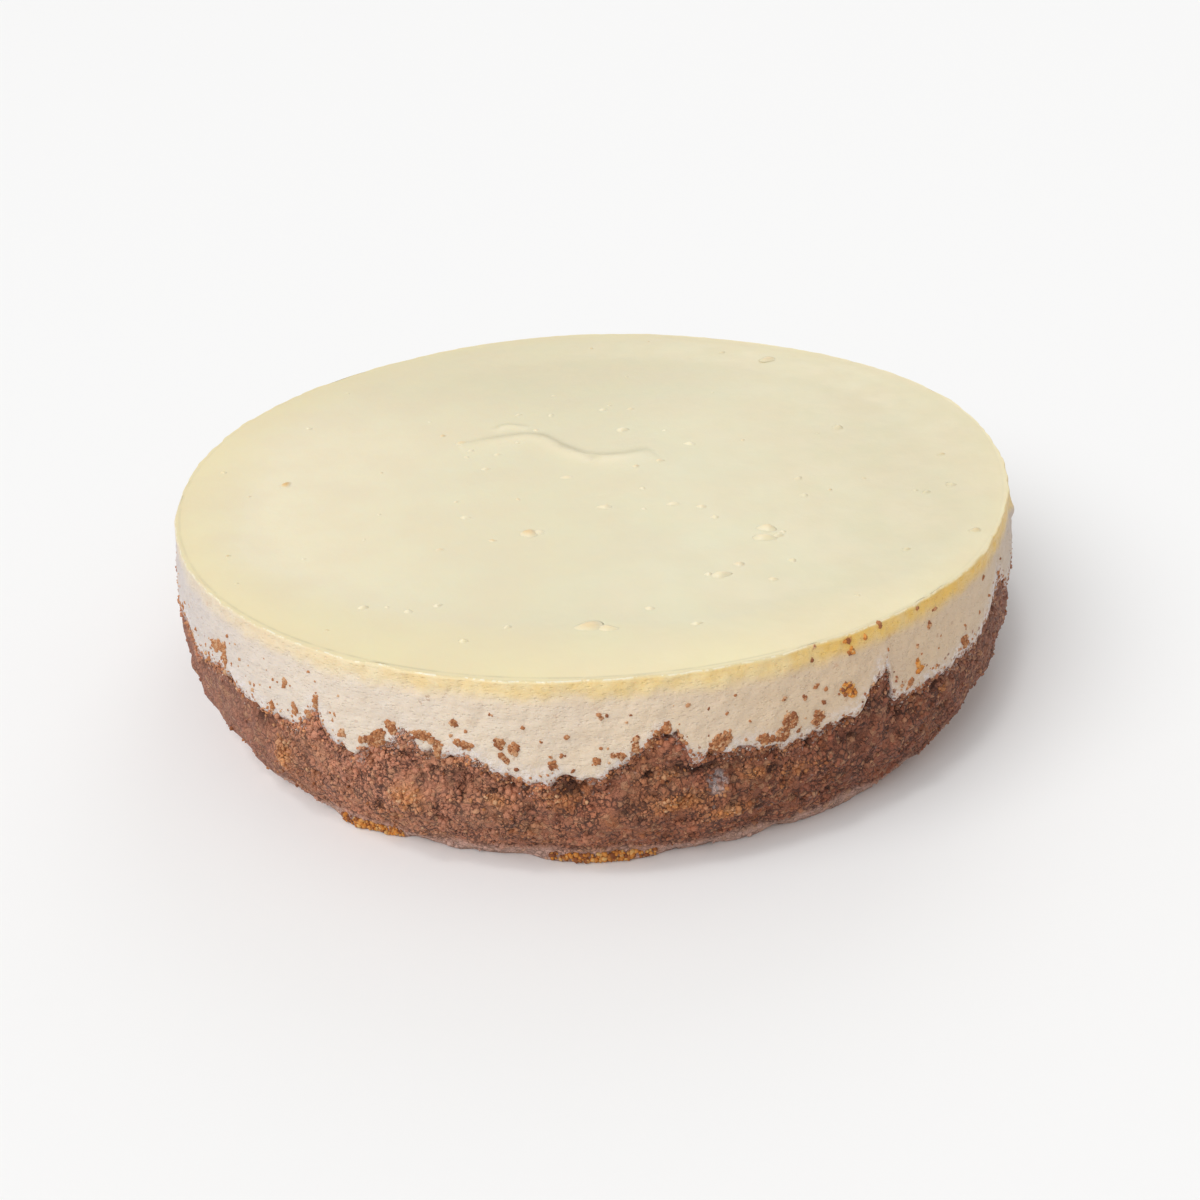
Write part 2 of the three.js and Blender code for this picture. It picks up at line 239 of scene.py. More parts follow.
@dataclass(frozen=True)
class CakeForm:
    """The cake's form, the same as the frame's solids: every measure is a function of angle and height."""

    tin_radius: float = 100.0
    top_radius: float = 97.0
    foot_radius: float = 93.5
    height: float = 43.0
    widest_height: float = 16.7
    outline: tuple[tuple[int, float, float], ...] = (
        (2, 0.3, 0),
        (3, 0.4, 38),
        (4, 0.3, 0),
        (5, 0.45, -12),
        (6, 0.2, -72),
    )
    edge_height: float = 25.0
    edge_ripple: float = 0.9
    ripples_round: int = 110
    front_peaks: tuple[Peak, ...] = (
        Peak(-153, 3.5, 4),
        Peak(-139.5, 4, 3.4),
        Peak(-122.5, 5, 1.6),
        Peak(-117.5, -2.5, 1.8),
        Peak(-111, 5.2, 2),
        Peak(-105, 2, 2.2),
        Peak(-97.5, -3, 3.2),
        Peak(-91.5, -1.6, 2.6),
        Peak(-84, 7.2, 2.6),
        Peak(-57.2, 7.6, 2.6, 0.7),
        Peak(-31, 6, 4.5),
    )
    back_peaks: int = 20
    back_from: float = -14.0
    back_to: float = 194.0
    crumb_recess: float = 0.5
    crag_depth: float = 0.8
    crag_columns: int = 130
    crag_row: float = 4.5
    front_lumps: tuple[Lump, ...] = (
        Lump(-111, 16.5, 1.3, 2.2, 4),
        Lump(-128, 15, 1, 2.4, 3),
        Lump(-88, 13.5, 0.7, 3, 3),
        Lump(-51, 19, 1, 1, 1.6),
        Lump(-133, 23.5, -2, 1.8, 2),
        Lump(-103.5, 21.5, -1.8, 1.7, 2),
        Lump(-92, 21.5, -1.4, 2, 1.6),
        Lump(-78, 21, -1.6, 2.4, 2.2),
        Lump(-62, 22, -1.3, 2.2, 2),
    )
    back_lumps: int = 26
    lips: tuple[tuple[float, float], ...] = ((-90.5, 7), (-119.5, 5), (20, 6), (95, 9), (160, 5))
    lip_out: float = 1.5
    lip_height: float = 2.2
    dish_depth: float = 1.1
    shoulder_crest: float = 4.0
    shoulder_width: float = 22.0
    side_ripple: float = 0.25
    side_ripples_round: int = 70
    torn_flake: Lump = Lump(-17.5, 38.5, 1.1, 1.3, 3.2)
    box_margin: float = 0.1

    def peaks(self) -> list[Peak]:
        """The edge's peaks: those of the front, then the hashed ones of the back."""
        peaks = list(self.front_peaks)
        for i in range(self.back_peaks):
            at = blend(self.back_from, self.back_to, i / (self.back_peaks - 1)) + (scatter(i, 0, 5) - 0.5) * 6.8
            peaks.append(Peak(at, blend(-2.4, 7.4, scatter(i, 0, 6)), blend(1.5, 4, scatter(i, 0, 7))))
        return peaks

    def lumps(self) -> list[Lump]:
        """The side's lumps: those of the front, then the hashed ones of the back."""
        lumps = list(self.front_lumps)
        for i in range(self.back_lumps):
            at = blend(-20, 200, scatter(i, 0, 8))
            out = blend(-1.6, 1.6, scatter(i, 0, 10))
            lumps.append(Lump(at, blend(6, 21, scatter(i, 0, 9)), out, 2.2, 2.8))
        return lumps

    def crumb_edge(self, angle: np.ndarray) -> np.ndarray:
        """The height of the crumbs' ragged edge: a level, a ripple of noise and a bell for each peak."""
        degrees = np.degrees(angle)
        height = self.edge_height + self.edge_ripple * noise_round(angle, 0.0, self.ripples_round, 40)
        for peak in self.peaks():
            turn = turn_between(degrees, peak.at)
            fall = peak.spread if peak.fall is None else peak.fall
            height = height + peak.rise * bell(turn, np.where(turn > 0, fall, peak.spread))
        return height

    def side_radius(self, angle: np.ndarray, height: np.ndarray | float) -> np.ndarray:
        """The plain side: a sine out from the foot to the widest ring, a cosine in to the top, and the
        outline's slow waves.
        """
        below = np.clip(height / self.widest_height, 0, 1)
        above = np.clip((height - self.widest_height) / (self.height - self.widest_height), 0, 1)
        radius = np.where(
            height < self.widest_height,
            blend(self.foot_radius, self.tin_radius, np.sin(below * math.pi / 2)),
            blend(self.top_radius, self.tin_radius, np.cos(above * math.pi / 2)),
        )
        for waves, swell, phase in self.outline:
            radius = radius + swell * np.sin(waves * angle + math.radians(phase))
        return radius

    def crumb_radius(self, angle: np.ndarray, height: np.ndarray) -> np.ndarray:
        """The crumb side: the plain side less its recess, with crags, lumps and the lips at the foot."""
        degrees = np.degrees(angle)
        crags = noise_round(angle, height / self.crag_row, self.crag_columns, 3)
        radius = self.side_radius(angle, height) - self.crumb_recess + self.crag_depth * crags
        for lump in self.lumps():
            radius = radius + lump.reach(degrees, height)
        for at, half in self.lips:
            along = ease(1.5 - np.abs(turn_between(degrees, at)) / half)
            radius = radius + self.lip_out * along * np.clip(1 - height / self.lip_height, 0, 1)
        return radius

    def filling_radius(self, angle: np.ndarray, height: np.ndarray) -> np.ndarray:
        """The filling's side: the plain side with a slow ripple and one torn flake of skin."""
        ripple = self.side_ripple * noise_round(angle, 0.0, self.side_ripples_round, 90)
        return self.side_radius(angle, height) + ripple + self.torn_flake.reach(np.degrees(angle), height)

    def kept_inside(self, angle: np.ndarray, radius: np.ndarray, size: np.ndarray | float = 0.0) -> np.ndarray:
        """The radius, or less where a thing of that size would reach past the solids' own box."""
        low, high = (np.array(corner) / MM for corner in CAD_BOX)
        across = np.where(np.cos(angle) > 0, high[0], -low[0]) - size - self.box_margin
        deep = np.where(np.sin(angle) > 0, high[1], -low[1]) - size - self.box_margin
        reach_across = across / np.maximum(np.abs(np.cos(angle)), 1e-3)
        reach_deep = deep / np.maximum(np.abs(np.sin(angle)), 1e-3)
        return np.minimum(radius, np.minimum(reach_across, reach_deep))

    def skin_height(self, inward: np.ndarray) -> np.ndarray:
        """The skin: level at the shoulder's crest, then eased down into the dish."""
        share = (inward - self.shoulder_crest) / (self.shoulder_width - self.shoulder_crest)
        return self.height - self.dish_depth * ease(share)


Path = tuple[tuple[float, float], ...]


def curve_points(through: Path, steps: int = 180) -> np.ndarray:
    """Points along a Catmull-Rom curve, 0.5 (2b + (c-a)t + (2a-5b+4c-d)t^2 + (3b-a-3c+d)t^3).

    Args:
        through: The places that the curve goes through.
        steps: How many points are wanted.

    Returns:
        The points, as rows of x and y.
    """
    places = np.array(through, float)
    padded = np.vstack([2 * places[0] - places[1], places, 2 * places[-1] - places[-2]])
    along = np.linspace(0, len(places) - 1, steps, endpoint=False)
    first = np.floor(along).astype(int)
    t = (along - first)[:, None]
    a, b, c, d = (padded[first + k] for k in range(4))
    return 0.5 * (2 * b + (c - a) * t + (2 * a - 5 * b + 4 * c - d) * t**2 + (3 * b - a - 3 * c + d) * t**3)


def ridge(x: np.ndarray, y: np.ndarray, through: Path, rise: float, half: float) -> np.ndarray:
    """A ridge along a curve: a bell across it, wider on its front, and a sine's root along it.

    Args:
        x: Places across.
        y: Places in depth.
        through: The places that the curve goes through.
        rise: The ridge's height.
        half: Half its width at the back.

    Returns:
        How far it stands up at each place.
    """
    line = curve_points(through)
    gap = np.hypot(x[:, None] - line[:, 0], y[:, None] - line[:, 1])
    nearest = gap.argmin(1)
    along = np.sin(nearest / (len(line) - 1) * math.pi) ** 0.5
    spread = half * np.where(y < line[nearest, 1], 2.2, 0.95)
    return rise * along * bell(gap.min(1), spread)


def beside(x: np.ndarray, y: np.ndarray, through: Path, shift: float, spread: float) -> np.ndarray:
    """A bell of the distance to a curve that is moved in depth, times a sine's root along the curve.

    Args:
        x: Places across.
        y: Places in depth.
        through: The places that the curve goes through.
        shift: How far back the curve is moved.
        spread: The bell's half width.

    Returns:
        Numbers from 0 to 1.
    """
    line = curve_points(through) + (0.0, shift)
    gap = np.hypot(x[:, None] - line[:, 0], y[:, None] - line[:, 1])
    along = np.sin(gap.argmin(1) / (len(line) - 1) * math.pi) ** 0.5
    return along * bell(gap.min(1), spread)


def angles(count: int) -> np.ndarray:
    """Evenly spaced angles round the cake, from 0."""
    return np.arange(count) / count * TURN


@dataclass
class RingStack:
    """A closed surface through rings of points, from a first pole to a last pole. Each ring has as many
    points as the one before, half as many or twice as many.
    """

    first: tuple[float, float, float]
    last: tuple[float, float, float]
    rings: list[np.ndarray] = field(default_factory=list)
    values: dict[str, list[np.ndarray]] = field(default_factory=dict)

    def add(self, radius: np.ndarray, height: np.ndarray | float, **values: np.ndarray | float) -> None:
        """Adds a ring: the points (r cos a, r sin a, z) at evenly spaced angles.

        Args:
            radius: One radius for each point.
            height: One height for each, or one for all.
            **values: Named numbers that the points carry for the materials.
        """
        angle = angles(len(radius))
        level = np.broadcast_to(height, radius.shape)
        self.rings.append(np.column_stack([radius * np.cos(angle), radius * np.sin(angle), level]))
        for name, value in values.items():
            self.values.setdefault(name, []).append(np.broadcast_to(value, radius.shape))

    def faces(self) -> np.ndarray:
        """Triangles between neighbouring rings, and fans at the poles, all facing outwards."""
        start = 1
        count = len(self.rings[0])
        i = np.arange(count)
        parts = [np.column_stack([np.zeros(count, int), start + (i + 1) % count, start + i])]
        for lower_ring, upper_ring in zip(self.rings, self.rings[1:]):
            lower, upper = len(lower_ring), len(upper_ring)
            k = np.arange(min(lower, upper))
            a, a_next = start + k, start + (k + 1) % lower
            b, b_next = start + lower + k, start + lower + (k + 1) % upper
            if lower == upper:
                parts += [np.column_stack([a, a_next, b_next]), np.column_stack([a, b_next, b])]
            elif lower > upper:
                even, odd, after = start + 2 * k, start + 2 * k + 1, start + (2 * k + 2) % lower
                parts += [np.column_stack([even, odd, b]), np.column_stack([odd, b_next, b])]
                parts.append(np.column_stack([odd, after, b_next]))
            else:
                base = start + lower
                even, odd, after = base + 2 * k, base + 2 * k + 1, base + (2 * k + 2) % upper
                parts += [np.column_stack([a, odd, even]), np.column_stack([a, a_next, odd])]
                parts.append(np.column_stack([a_next, after, odd]))
            start += lower
        count = len(self.rings[-1])
        i = np.arange(count)
        parts.append(np.column_stack([start + i, start + (i + 1) % count, np.full(count, start + count)]))
        return np.concatenate(parts)

    def piece(self, name: str) -> bpy.types.Object:
        """Makes the mesh object of the whole stack.

        Args:
            name: The piece's name.

        Returns:
            The new object, smooth shaded.
        """
        points = np.concatenate([[self.first], *self.rings, [self.last]])
        carried = {key: np.concatenate([rows[0][:1], *rows, rows[-1][:1]]) for key, rows in self.values.items()}
        return mesh_object(name, points, self.faces(), carried)


def mesh_object(
    name: str, points: np.ndarray, faces: np.ndarray, values: dict[str, np.ndarray], smooth: bool = True
) -> bpy.types.Object:
    """Puts whole arrays into a new mesh and links its object at the origin.

    Args:
        name: The object's name.
        points: Vertices in millimetres.
        faces: Triangles as vertex numbers, facing outwards.
        values: Named numbers for the points, which become float attributes.
        smooth: Whether the faces are shaded smooth.

    Returns:
        The new object.
    """
    mesh = bpy.data.meshes.new(name)
    mesh.vertices.add(len(points))
    mesh.vertices.foreach_set("co", (points * MM).astype(np.float32).ravel())
    mesh.loops.add(3 * len(faces))
    mesh.loops.foreach_set("vertex_index", faces.astype(np.int32).ravel())
    mesh.polygons.add(len(faces))
    mesh.polygons.foreach_set("loop_start", np.arange(0, 3 * len(faces), 3, dtype=np.int32))
    mesh.polygons.foreach_set("use_smooth", np.full(len(faces), smooth))
    mesh.update(calc_edges=True)
    for key, value in values.items():
        mesh.attributes.new(key, "FLOAT", "POINT").data.foreach_set("value", value.astype(np.float32))
    obj = bpy.data.objects.new(name, mesh)
    bpy.context.scene.collection.objects.link(obj)
    return obj


class Tree:
    """A short way to write a node tree: nodes by kind, values by socket, and links."""

    def __init__(self, owner: bpy.types.Material | bpy.types.NodeTree) -> None:
        """Takes a material, whose nodes it clears, or a node group."""
        if isinstance(owner, bpy.types.Material):
            owner.use_nodes = True
            owner.node_tree.nodes.clear()
            owner = owner.node_tree
        self.nodes = owner.nodes
        self.links = owner.links

    def node(self, kind: str, sockets: dict[str | int, object] | None = None, **settings: object) -> bpy.types.Node:
        """Adds a node.

        Args:
            kind: The node's type without its ShaderNode prefix.
            sockets: Input socket to a value, a Shade or the output socket that feeds it.
            **settings: The node's own properties.

        Returns:
            The new node.
        """
        made = self.nodes.new(kind if kind.startswith("Node") else "ShaderNode" + kind)
        for key, value in settings.items():
            setattr(made, key, value)
        for key, value in (sockets or {}).items():
            self.feed(made.inputs[key], value)
        return made

    def feed(self, socket: bpy.types.NodeSocket, value: object) -> None:
        """Sets an input socket from a value, a Shade or an output socket."""
        if isinstance(value, bpy.types.NodeSocket):
            self.links.new(value, socket)
        elif isinstance(value, Shade):
            socket.default_value = value.linear()
        else:
            socket.default_value = value

    def math(self, operation: str, *values: object, clamp: bool = False) -> bpy.types.NodeSocket:
        """One step of arithmetic on numbers or sockets."""
        made = self.node("Math", dict(enumerate(values)), operation=operation, use_clamp=clamp)
        return made.outputs[0]

    def mix(self, share: object, low: object, high: object, how: str = "MIX") -> bpy.types.NodeSocket:
        """Two colours mixed by a share."""
        made = self.node("Mix", {0: share, 6: low, 7: high}, data_type="RGBA", blend_type=how, clamp_factor=True)
        return made.outputs[2]

    def ramp(self, value: object, low: float, high: float) -> bpy.types.NodeSocket:
        """A value eased from 0 at low to 1 at high."""
        made = self.node(
            "MapRange", {"Value": value, "From Min": low, "From Max": high}, interpolation_type="SMOOTHSTEP"
        )
        return made.outputs[0]

    def carried(self, name: str) -> bpy.types.NodeSocket:
        """A number that the mesh carries."""
        return self.node("Attribute", attribute_name=name, attribute_type="GEOMETRY").outputs["Fac"]

    def place(self) -> bpy.types.NodeSocket:
        """The point in the object's own coordinates."""
        return self.node("TexCoord").outputs["Object"]

    def noise(self, vector: object, size: float, detail: float = 3.0, rough: float = 0.5) -> bpy.types.NodeSocket:
        """Noise of a size in millimetres, about 0.5 on average."""
        sockets = {"Vector": vector, "Scale": 1 / (size * MM), "Detail": detail, "Roughness": rough}
        return self.node("TexNoise", sockets).outputs[0]


def new_group(name: str, inputs: dict[str, str], outputs: dict[str, str]) -> tuple[bpy.types.NodeTree, Tree]:
    """Starts a shader node group.

    Args:
        name: The group's name.
        inputs: Input name to socket type.
        outputs: Output name to socket type.

    Returns:
        The group and the Tree to fill it with.
    """
    group = bpy.data.node_groups.new(name, "ShaderNodeTree")
    for key, kind in inputs.items():
        group.interface.new_socket(key, in_out="INPUT", socket_type=kind)
    for key, kind in outputs.items():
        group.interface.new_socket(key, in_out="OUTPUT", socket_type=kind)
    return group, Tree(group)


NUMBER = "NodeSocketFloat"
VECTOR = "NodeSocketVector"


def crumble_group() -> bpy.types.NodeTree:
    """The crumble of biscuit: rounded grains of a named size, parted by thin gaps, with finer grains on them.

    Returns:
        A group from Vector and Cells (grains in a metre) to Tone, a number for each grain, Height and Gap.
    """
    group, tree = new_group(
        "crumble", {"Vector": VECTOR, "Cells": NUMBER}, {"Tone": NUMBER, "Height": NUMBER, "Gap": NUMBER}
    )
    given = tree.node("NodeGroupInput")
    warp = tree.node(
        "TexNoise", {"Vector": given.outputs["Vector"], "Scale": 1500.0, "Detail": 1.0}
    ).outputs["Color"]
    shift = tree.node("VectorMath", {0: warp, 1: (0.5, 0.5, 0.5)}, operation="SUBTRACT").outputs[0]
    small = tree.node("VectorMath", {0: shift, "Scale": 0.0007}, operation="SCALE").outputs[0]
    moved = tree.node("VectorMath", {0: given.outputs["Vector"], 1: small}, operation="ADD").outputs[0]
    cells = tree.node("TexVoronoi", {"Vector": moved, "Scale": given.outputs["Cells"]})
    border = tree.node("TexVoronoi", {"Vector": moved, "Scale": given.outputs["Cells"]}, feature="DISTANCE_TO_EDGE")
    twice = tree.math("MULTIPLY", given.outputs["Cells"], 2.3)
    fine = tree.node("TexVoronoi", {"Vector": moved, "Scale": twice})
    dome = tree.ramp(border.outputs["Distance"], 0.0, 0.3)
    small_dome = tree.math("SUBTRACT", 1.0, fine.outputs["Distance"], clamp=True)
    height = tree.math("ADD", dome, tree.math("MULTIPLY", small_dome, 0.45))
    split = tree.node("SeparateColor", {0: cells.outputs["Color"]})
    done = tree.node("NodeGroupOutput")
    tree.feed(done.inputs["Tone"], split.outputs[0])
    tree.feed(done.inputs["Height"], height)
    tree.feed(done.inputs["Gap"], tree.ramp(border.outputs["Distance"], 0.17, 0.03))
    return group


def crevice_group() -> bpy.types.NodeTree:
    """Thin crooked crevices of painted shade, where slow noise passes its middle value, open only in some areas.

    Returns:
        A group from Vector to Open, 1 in a crevice and 0 elsewhere.
    """
    group, tree = new_group("crevice", {"Vector": VECTOR}, {"Open": NUMBER})
    given = tree.node("NodeGroupInput")
    crooked = tree.noise(given.outputs["Vector"], 2.1, 2.5, 0.55)
    line = tree.ramp(tree.math("ABSOLUTE", tree.math("SUBTRACT", crooked, 0.5)), 0.04, 0.008)
    area = tree.ramp(tree.noise(given.outputs["Vector"], 6.5, 2.0), 0.42, 0.56)
    done = tree.node("NodeGroupOutput")
    tree.feed(done.inputs["Open"], tree.math("MULTIPLY", line, tree.math("ADD", area, 0.15, clamp=True)))
    return group


def cloud_group() -> bpy.types.NodeTree:
    """Slow clouds of tone, as baking and damp leave them, broken up by finer ones.

    Returns:
        A group from Vector and Size (millimetres) to Cloud, about 0 to 1.
    """
    group, tree = new_group("cloud", {"Vector": VECTOR, "Size": NUMBER}, {"Cloud": NUMBER})
    given = tree.node("NodeGroupInput")
    scale = tree.math("DIVIDE", 1 / MM, given.outputs["Size"])
    noise = tree.node("TexNoise", {"Vector": given.outputs["Vector"], "Scale": scale, "Detail": 4.0})
    done = tree.node("NodeGroupOutput")
    tree.feed(done.inputs["Cloud"], tree.ramp(noise.outputs[0], 0.3, 0.7))
    return group


@dataclass(frozen=True)
class Effects:
    """The node groups that the finishes share."""

    crumble: bpy.types.NodeTree
    crevice: bpy.types.NodeTree
    cloud: bpy.types.NodeTree

    def add_crumble(self, tree: Tree, size: float) -> bpy.types.Node:
        """Places the crumble with cells of a size in millimetres."""
        made = tree.node("Group", node_tree=self.crumble)
        tree.feed(made.inputs["Vector"], tree.place())
        made.inputs["Cells"].default_value = 1 / (size * MM)
        return made

    def add_crevice(self, tree: Tree) -> bpy.types.NodeSocket:
        """Places the crevices and returns their output."""
        made = tree.node("Group", node_tree=self.crevice)
        tree.feed(made.inputs["Vector"], tree.place())
        return made.outputs["Open"]

    def add_cloud(self, tree: Tree, size: float) -> bpy.types.NodeSocket:
        """Places the clouds with a size in millimetres and returns their output."""
        made = tree.node("Group", node_tree=self.cloud)
        tree.feed(made.inputs["Vector"], tree.place())
        made.inputs["Size"].default_value = size
        return made.outputs["Cloud"]

    def scattered_cells(
        self, tree: Tree, size: float, level: bpy.types.NodeSocket, power: float
    ) -> bpy.types.NodeSocket:
        """Separate rounded cells, more of them where a level is high.

        Args:
            tree: The material's tree.
            size: The cells' size in millimetres.
            level: From 0, where there are none, to 1, where every cell counts.
            power: How fast they thin out as the level falls.

        Returns:
            A mask from 0 to 1.
        """
        crumble = self.add_crumble(tree, size)
        share = tree.math("POWER", level, power)
        within = tree.ramp(tree.math("SUBTRACT", share, crumble.outputs["Tone"]), -0.03, 0.03)
        return tree.math("MULTIPLY", within, tree.math("SUBTRACT", 1.0, crumble.outputs["Gap"]))


@dataclass(frozen=True)
class BiscuitFinish:
    """Biscuit crumbs, pressed or loose: brown with dark, tan and olive areas, pinkish where they are pressed
    smooth, with painted light at the foot and painted shade in hollows and on the right. The mesh carries
    the numbers that CRUMB_MARKS names.
    """

    effects: Effects
    cell: float = 1.25
    bump: float = 0.9

    def ground(self, tree: Tree) -> bpy.types.NodeSocket:
        """The colour: clouds of tone, tan lumps, painted shade on the right and pressed parts, pink with painted light.
        """
        patch = tree.math("MULTIPLY", self.effects.add_cloud(tree, 6.0), 0.35)
        olive = tree.math("MULTIPLY", self.effects.add_cloud(tree, 11.0), 0.4)
        colour = tree.mix(patch, Shade.BISCUIT, Shade.BISCUIT_TAN)
        plum = tree.math("MULTIPLY", self.effects.add_cloud(tree, 4.0), 0.45)
        amber = tree.math("MULTIPLY", tree.ramp(tree.noise(tree.place(), 7.5, 3.0), 0.54, 0.7), 0.6)
        colour = tree.mix(olive, colour, Shade.BISCUIT_OLIVE)
        colour = tree.mix(plum, colour, Shade.BISCUIT_PLUM)
        colour = tree.mix(amber, colour, Shade.BISCUIT_AMBER)
        patchy = tree.ramp(tree.noise(tree.place(), 1.3, 3.0, 0.6), 0.3, 0.6)
        tan = tree.math("MULTIPLY", tree.carried("tan"), tree.math("ADD", patchy, 0.25, clamp=True))
        colour = tree.mix(tan, colour, Shade.CRUMB_TAN)
        # Painted shade: darker on the right, away from the key light, and over the pressed parts.
        colour = tree.mix(tree.carried("side_shade"), colour, Shade.BISCUIT_SIDE_SHADE, "MULTIPLY")
        # Pink where crumbs are pressed; at the foot and in two patches, front left and right, it is painted light.
        return tree.mix(tree.carried("pink_and_lit"), colour, Shade.BISCUIT_PINK)

    def principled(self, tree: Tree, colour: bpy.types.NodeSocket, height: bpy.types.NodeSocket) -> None:
        """Ends the material: a dull shader with the colour and the relief."""
        bump = tree.node("Bump", {"Strength": self.bump, "Distance": 0.45 * MM, "Height": height})
        shader = tree.node(
            "BsdfPrincipled", {"Base Color": colour, "Roughness": 0.72, "Normal": bump.outputs[0]}
        )
        shader.inputs["Specular IOR Level"].default_value = 0.4
        tree.node("OutputMaterial", {"Surface": shader.outputs[0]})

    def crevice_shade(self, tree: Tree) -> bpy.types.NodeSocket:
        """Painted shade along the crevices, fainter where the crumbs are pressed smooth."""
        rough = tree.math("SUBTRACT", 0.75, tree.math("MULTIPLY", tree.carried("smooth"), 0.65))
        return tree.math("MULTIPLY", self.effects.add_crevice(tree), rough)

    def core(self) -> bpy.types.Material:
        """The pressed core: the ground with a grain of light and dark cells, an overall painted shade, painted shade in
        its gaps, crevices and hollows, and a milky edge.
        """
        made = bpy.data.materials.new("biscuit_core")
        tree = Tree(made)
        crumble = self.effects.add_crumble(tree, self.cell)
        grain = tree.noise(tree.place(), 0.5, 2.0, 0.7)
        light = tree.ramp(crumble.outputs["Tone"], 0.6, 1.0)
        shadowed = tree.math("SUBTRACT", 0.2, tree.math("MULTIPLY", tree.carried("pink_and_lit"), 0.2))
        # Painted shade in the gaps between grains, open only in some areas and fainter where pressed smooth.
        open_gaps = tree.math("ADD", tree.ramp(tree.noise(tree.place(), 2.6, 2.0), 0.42, 0.58), 0.12, clamp=True)
        gap = tree.math("MULTIPLY", crumble.outputs["Gap"], open_gaps)
        gap = tree.math("MULTIPLY", gap, tree.math("SUBTRACT", 0.8, tree.math("MULTIPLY", tree.carried("smooth"), 0.4)))
        colour = tree.mix(shadowed, self.ground(tree), Shade.CRUMB_DARK)
        colour = tree.mix(tree.math("MULTIPLY", light, 0.45), colour, Shade.CRUMB_LIGHT)
        # Painted shade: the gaps, the crevices and the hollows darkened towards near-black brown.
        colour = tree.mix(gap, colour, Shade.BISCUIT_PAINTED_SHADE)
        colour = tree.mix(self.crevice_shade(tree), colour, Shade.BISCUIT_PAINTED_SHADE)
        colour = tree.mix(tree.math("MULTIPLY", tree.carried("hollow_shade"), 0.75), colour, Shade.BISCUIT_PAINTED_SHADE)
        spots = self.effects.scattered_cells(tree, 0.7, tree.carried("milk"), 3.0)
        colour = tree.mix(tree.math("MULTIPLY", spots, 0.75), colour, Shade.BISCUIT_MILKY)
        streaked = tree.math("ADD", tree.ramp(tree.noise(tree.place(), 1.1, 3.0), 0.35, 0.6), 0.15, clamp=True)
        smear = tree.math("MULTIPLY", tree.ramp(tree.carried("smear"), 0.25, 0.7), streaked)
        colour = tree.mix(tree.math("MULTIPLY", smear, 0.5), colour, Shade.WHITE_COOL)
        self.principled(tree, colour, tree.math("ADD", crumble.outputs["Height"], grain))
        return made

    def loose(self) -> bpy.types.Material:
        """Loose crumbs: the ground, lighter or darker by each crumb's own tone, with a grainy face and painted shade in
        crevices and hollows.
        """
        made = bpy.data.materials.new("biscuit_loose")
        tree = Tree(made)
        tone = tree.carried("tone")
        grain = tree.noise(tree.place(), 0.35)
        light = tree.math("MULTIPLY", tree.ramp(tone, 0.5, 1.0), 0.65)
        dark = tree.math("MULTIPLY", tree.ramp(tone, 0.5, 0.0), 0.65)
        colour = tree.mix(light, self.ground(tree), Shade.CRUMB_LIGHT)
        colour = tree.mix(dark, colour, Shade.CRUMB_DARK)
        colour = tree.mix(self.crevice_shade(tree), colour, Shade.BISCUIT_PAINTED_SHADE)
        # Painted shade in the hollows, on the loose crumbs too.
        colour = tree.mix(tree.math("MULTIPLY", tree.carried("hollow_shade"), 0.5), colour, Shade.BISCUIT_PAINTED_SHADE)
        self.principled(tree, colour, grain)
        return made


@dataclass(frozen=True)
class SpeckFinish:
    """Separate specks: each has a tone of its own between three shades, with a grainy face."""

    name: str
    low: Shade
    middle: Shade
    high: Shade
    roughness: float = 0.8

    def material(self) -> bpy.types.Material:
        """Builds the material. The mesh carries tone, from 0 to 1 for each speck."""
        made = bpy.data.materials.new(self.name)
        tree = Tree(made)
        tone = tree.carried("tone")
        colour = tree.mix(tree.ramp(tone, 0.0, 0.5), self.low, self.middle)
        colour = tree.mix(tree.ramp(tone, 0.5, 1.0), colour, self.high)
        grain = tree.noise(tree.place(), 0.35)
        colour = tree.mix(tree.math("MULTIPLY", tree.ramp(grain, 0.5, 0.3), 0.4), colour, self.low)
        bump = tree.node("Bump", {"Strength": 0.6, "Distance": 0.2 * MM, "Height": grain})
        shader = tree.node(
            "BsdfPrincipled", {"Base Color": colour, "Roughness": self.roughness, "Normal": bump.outputs[0]}
        )
        shader.inputs["Specular IOR Level"].default_value = 0.3
        tree.node("OutputMaterial", {"Surface": shader.outputs[0]})
        return made


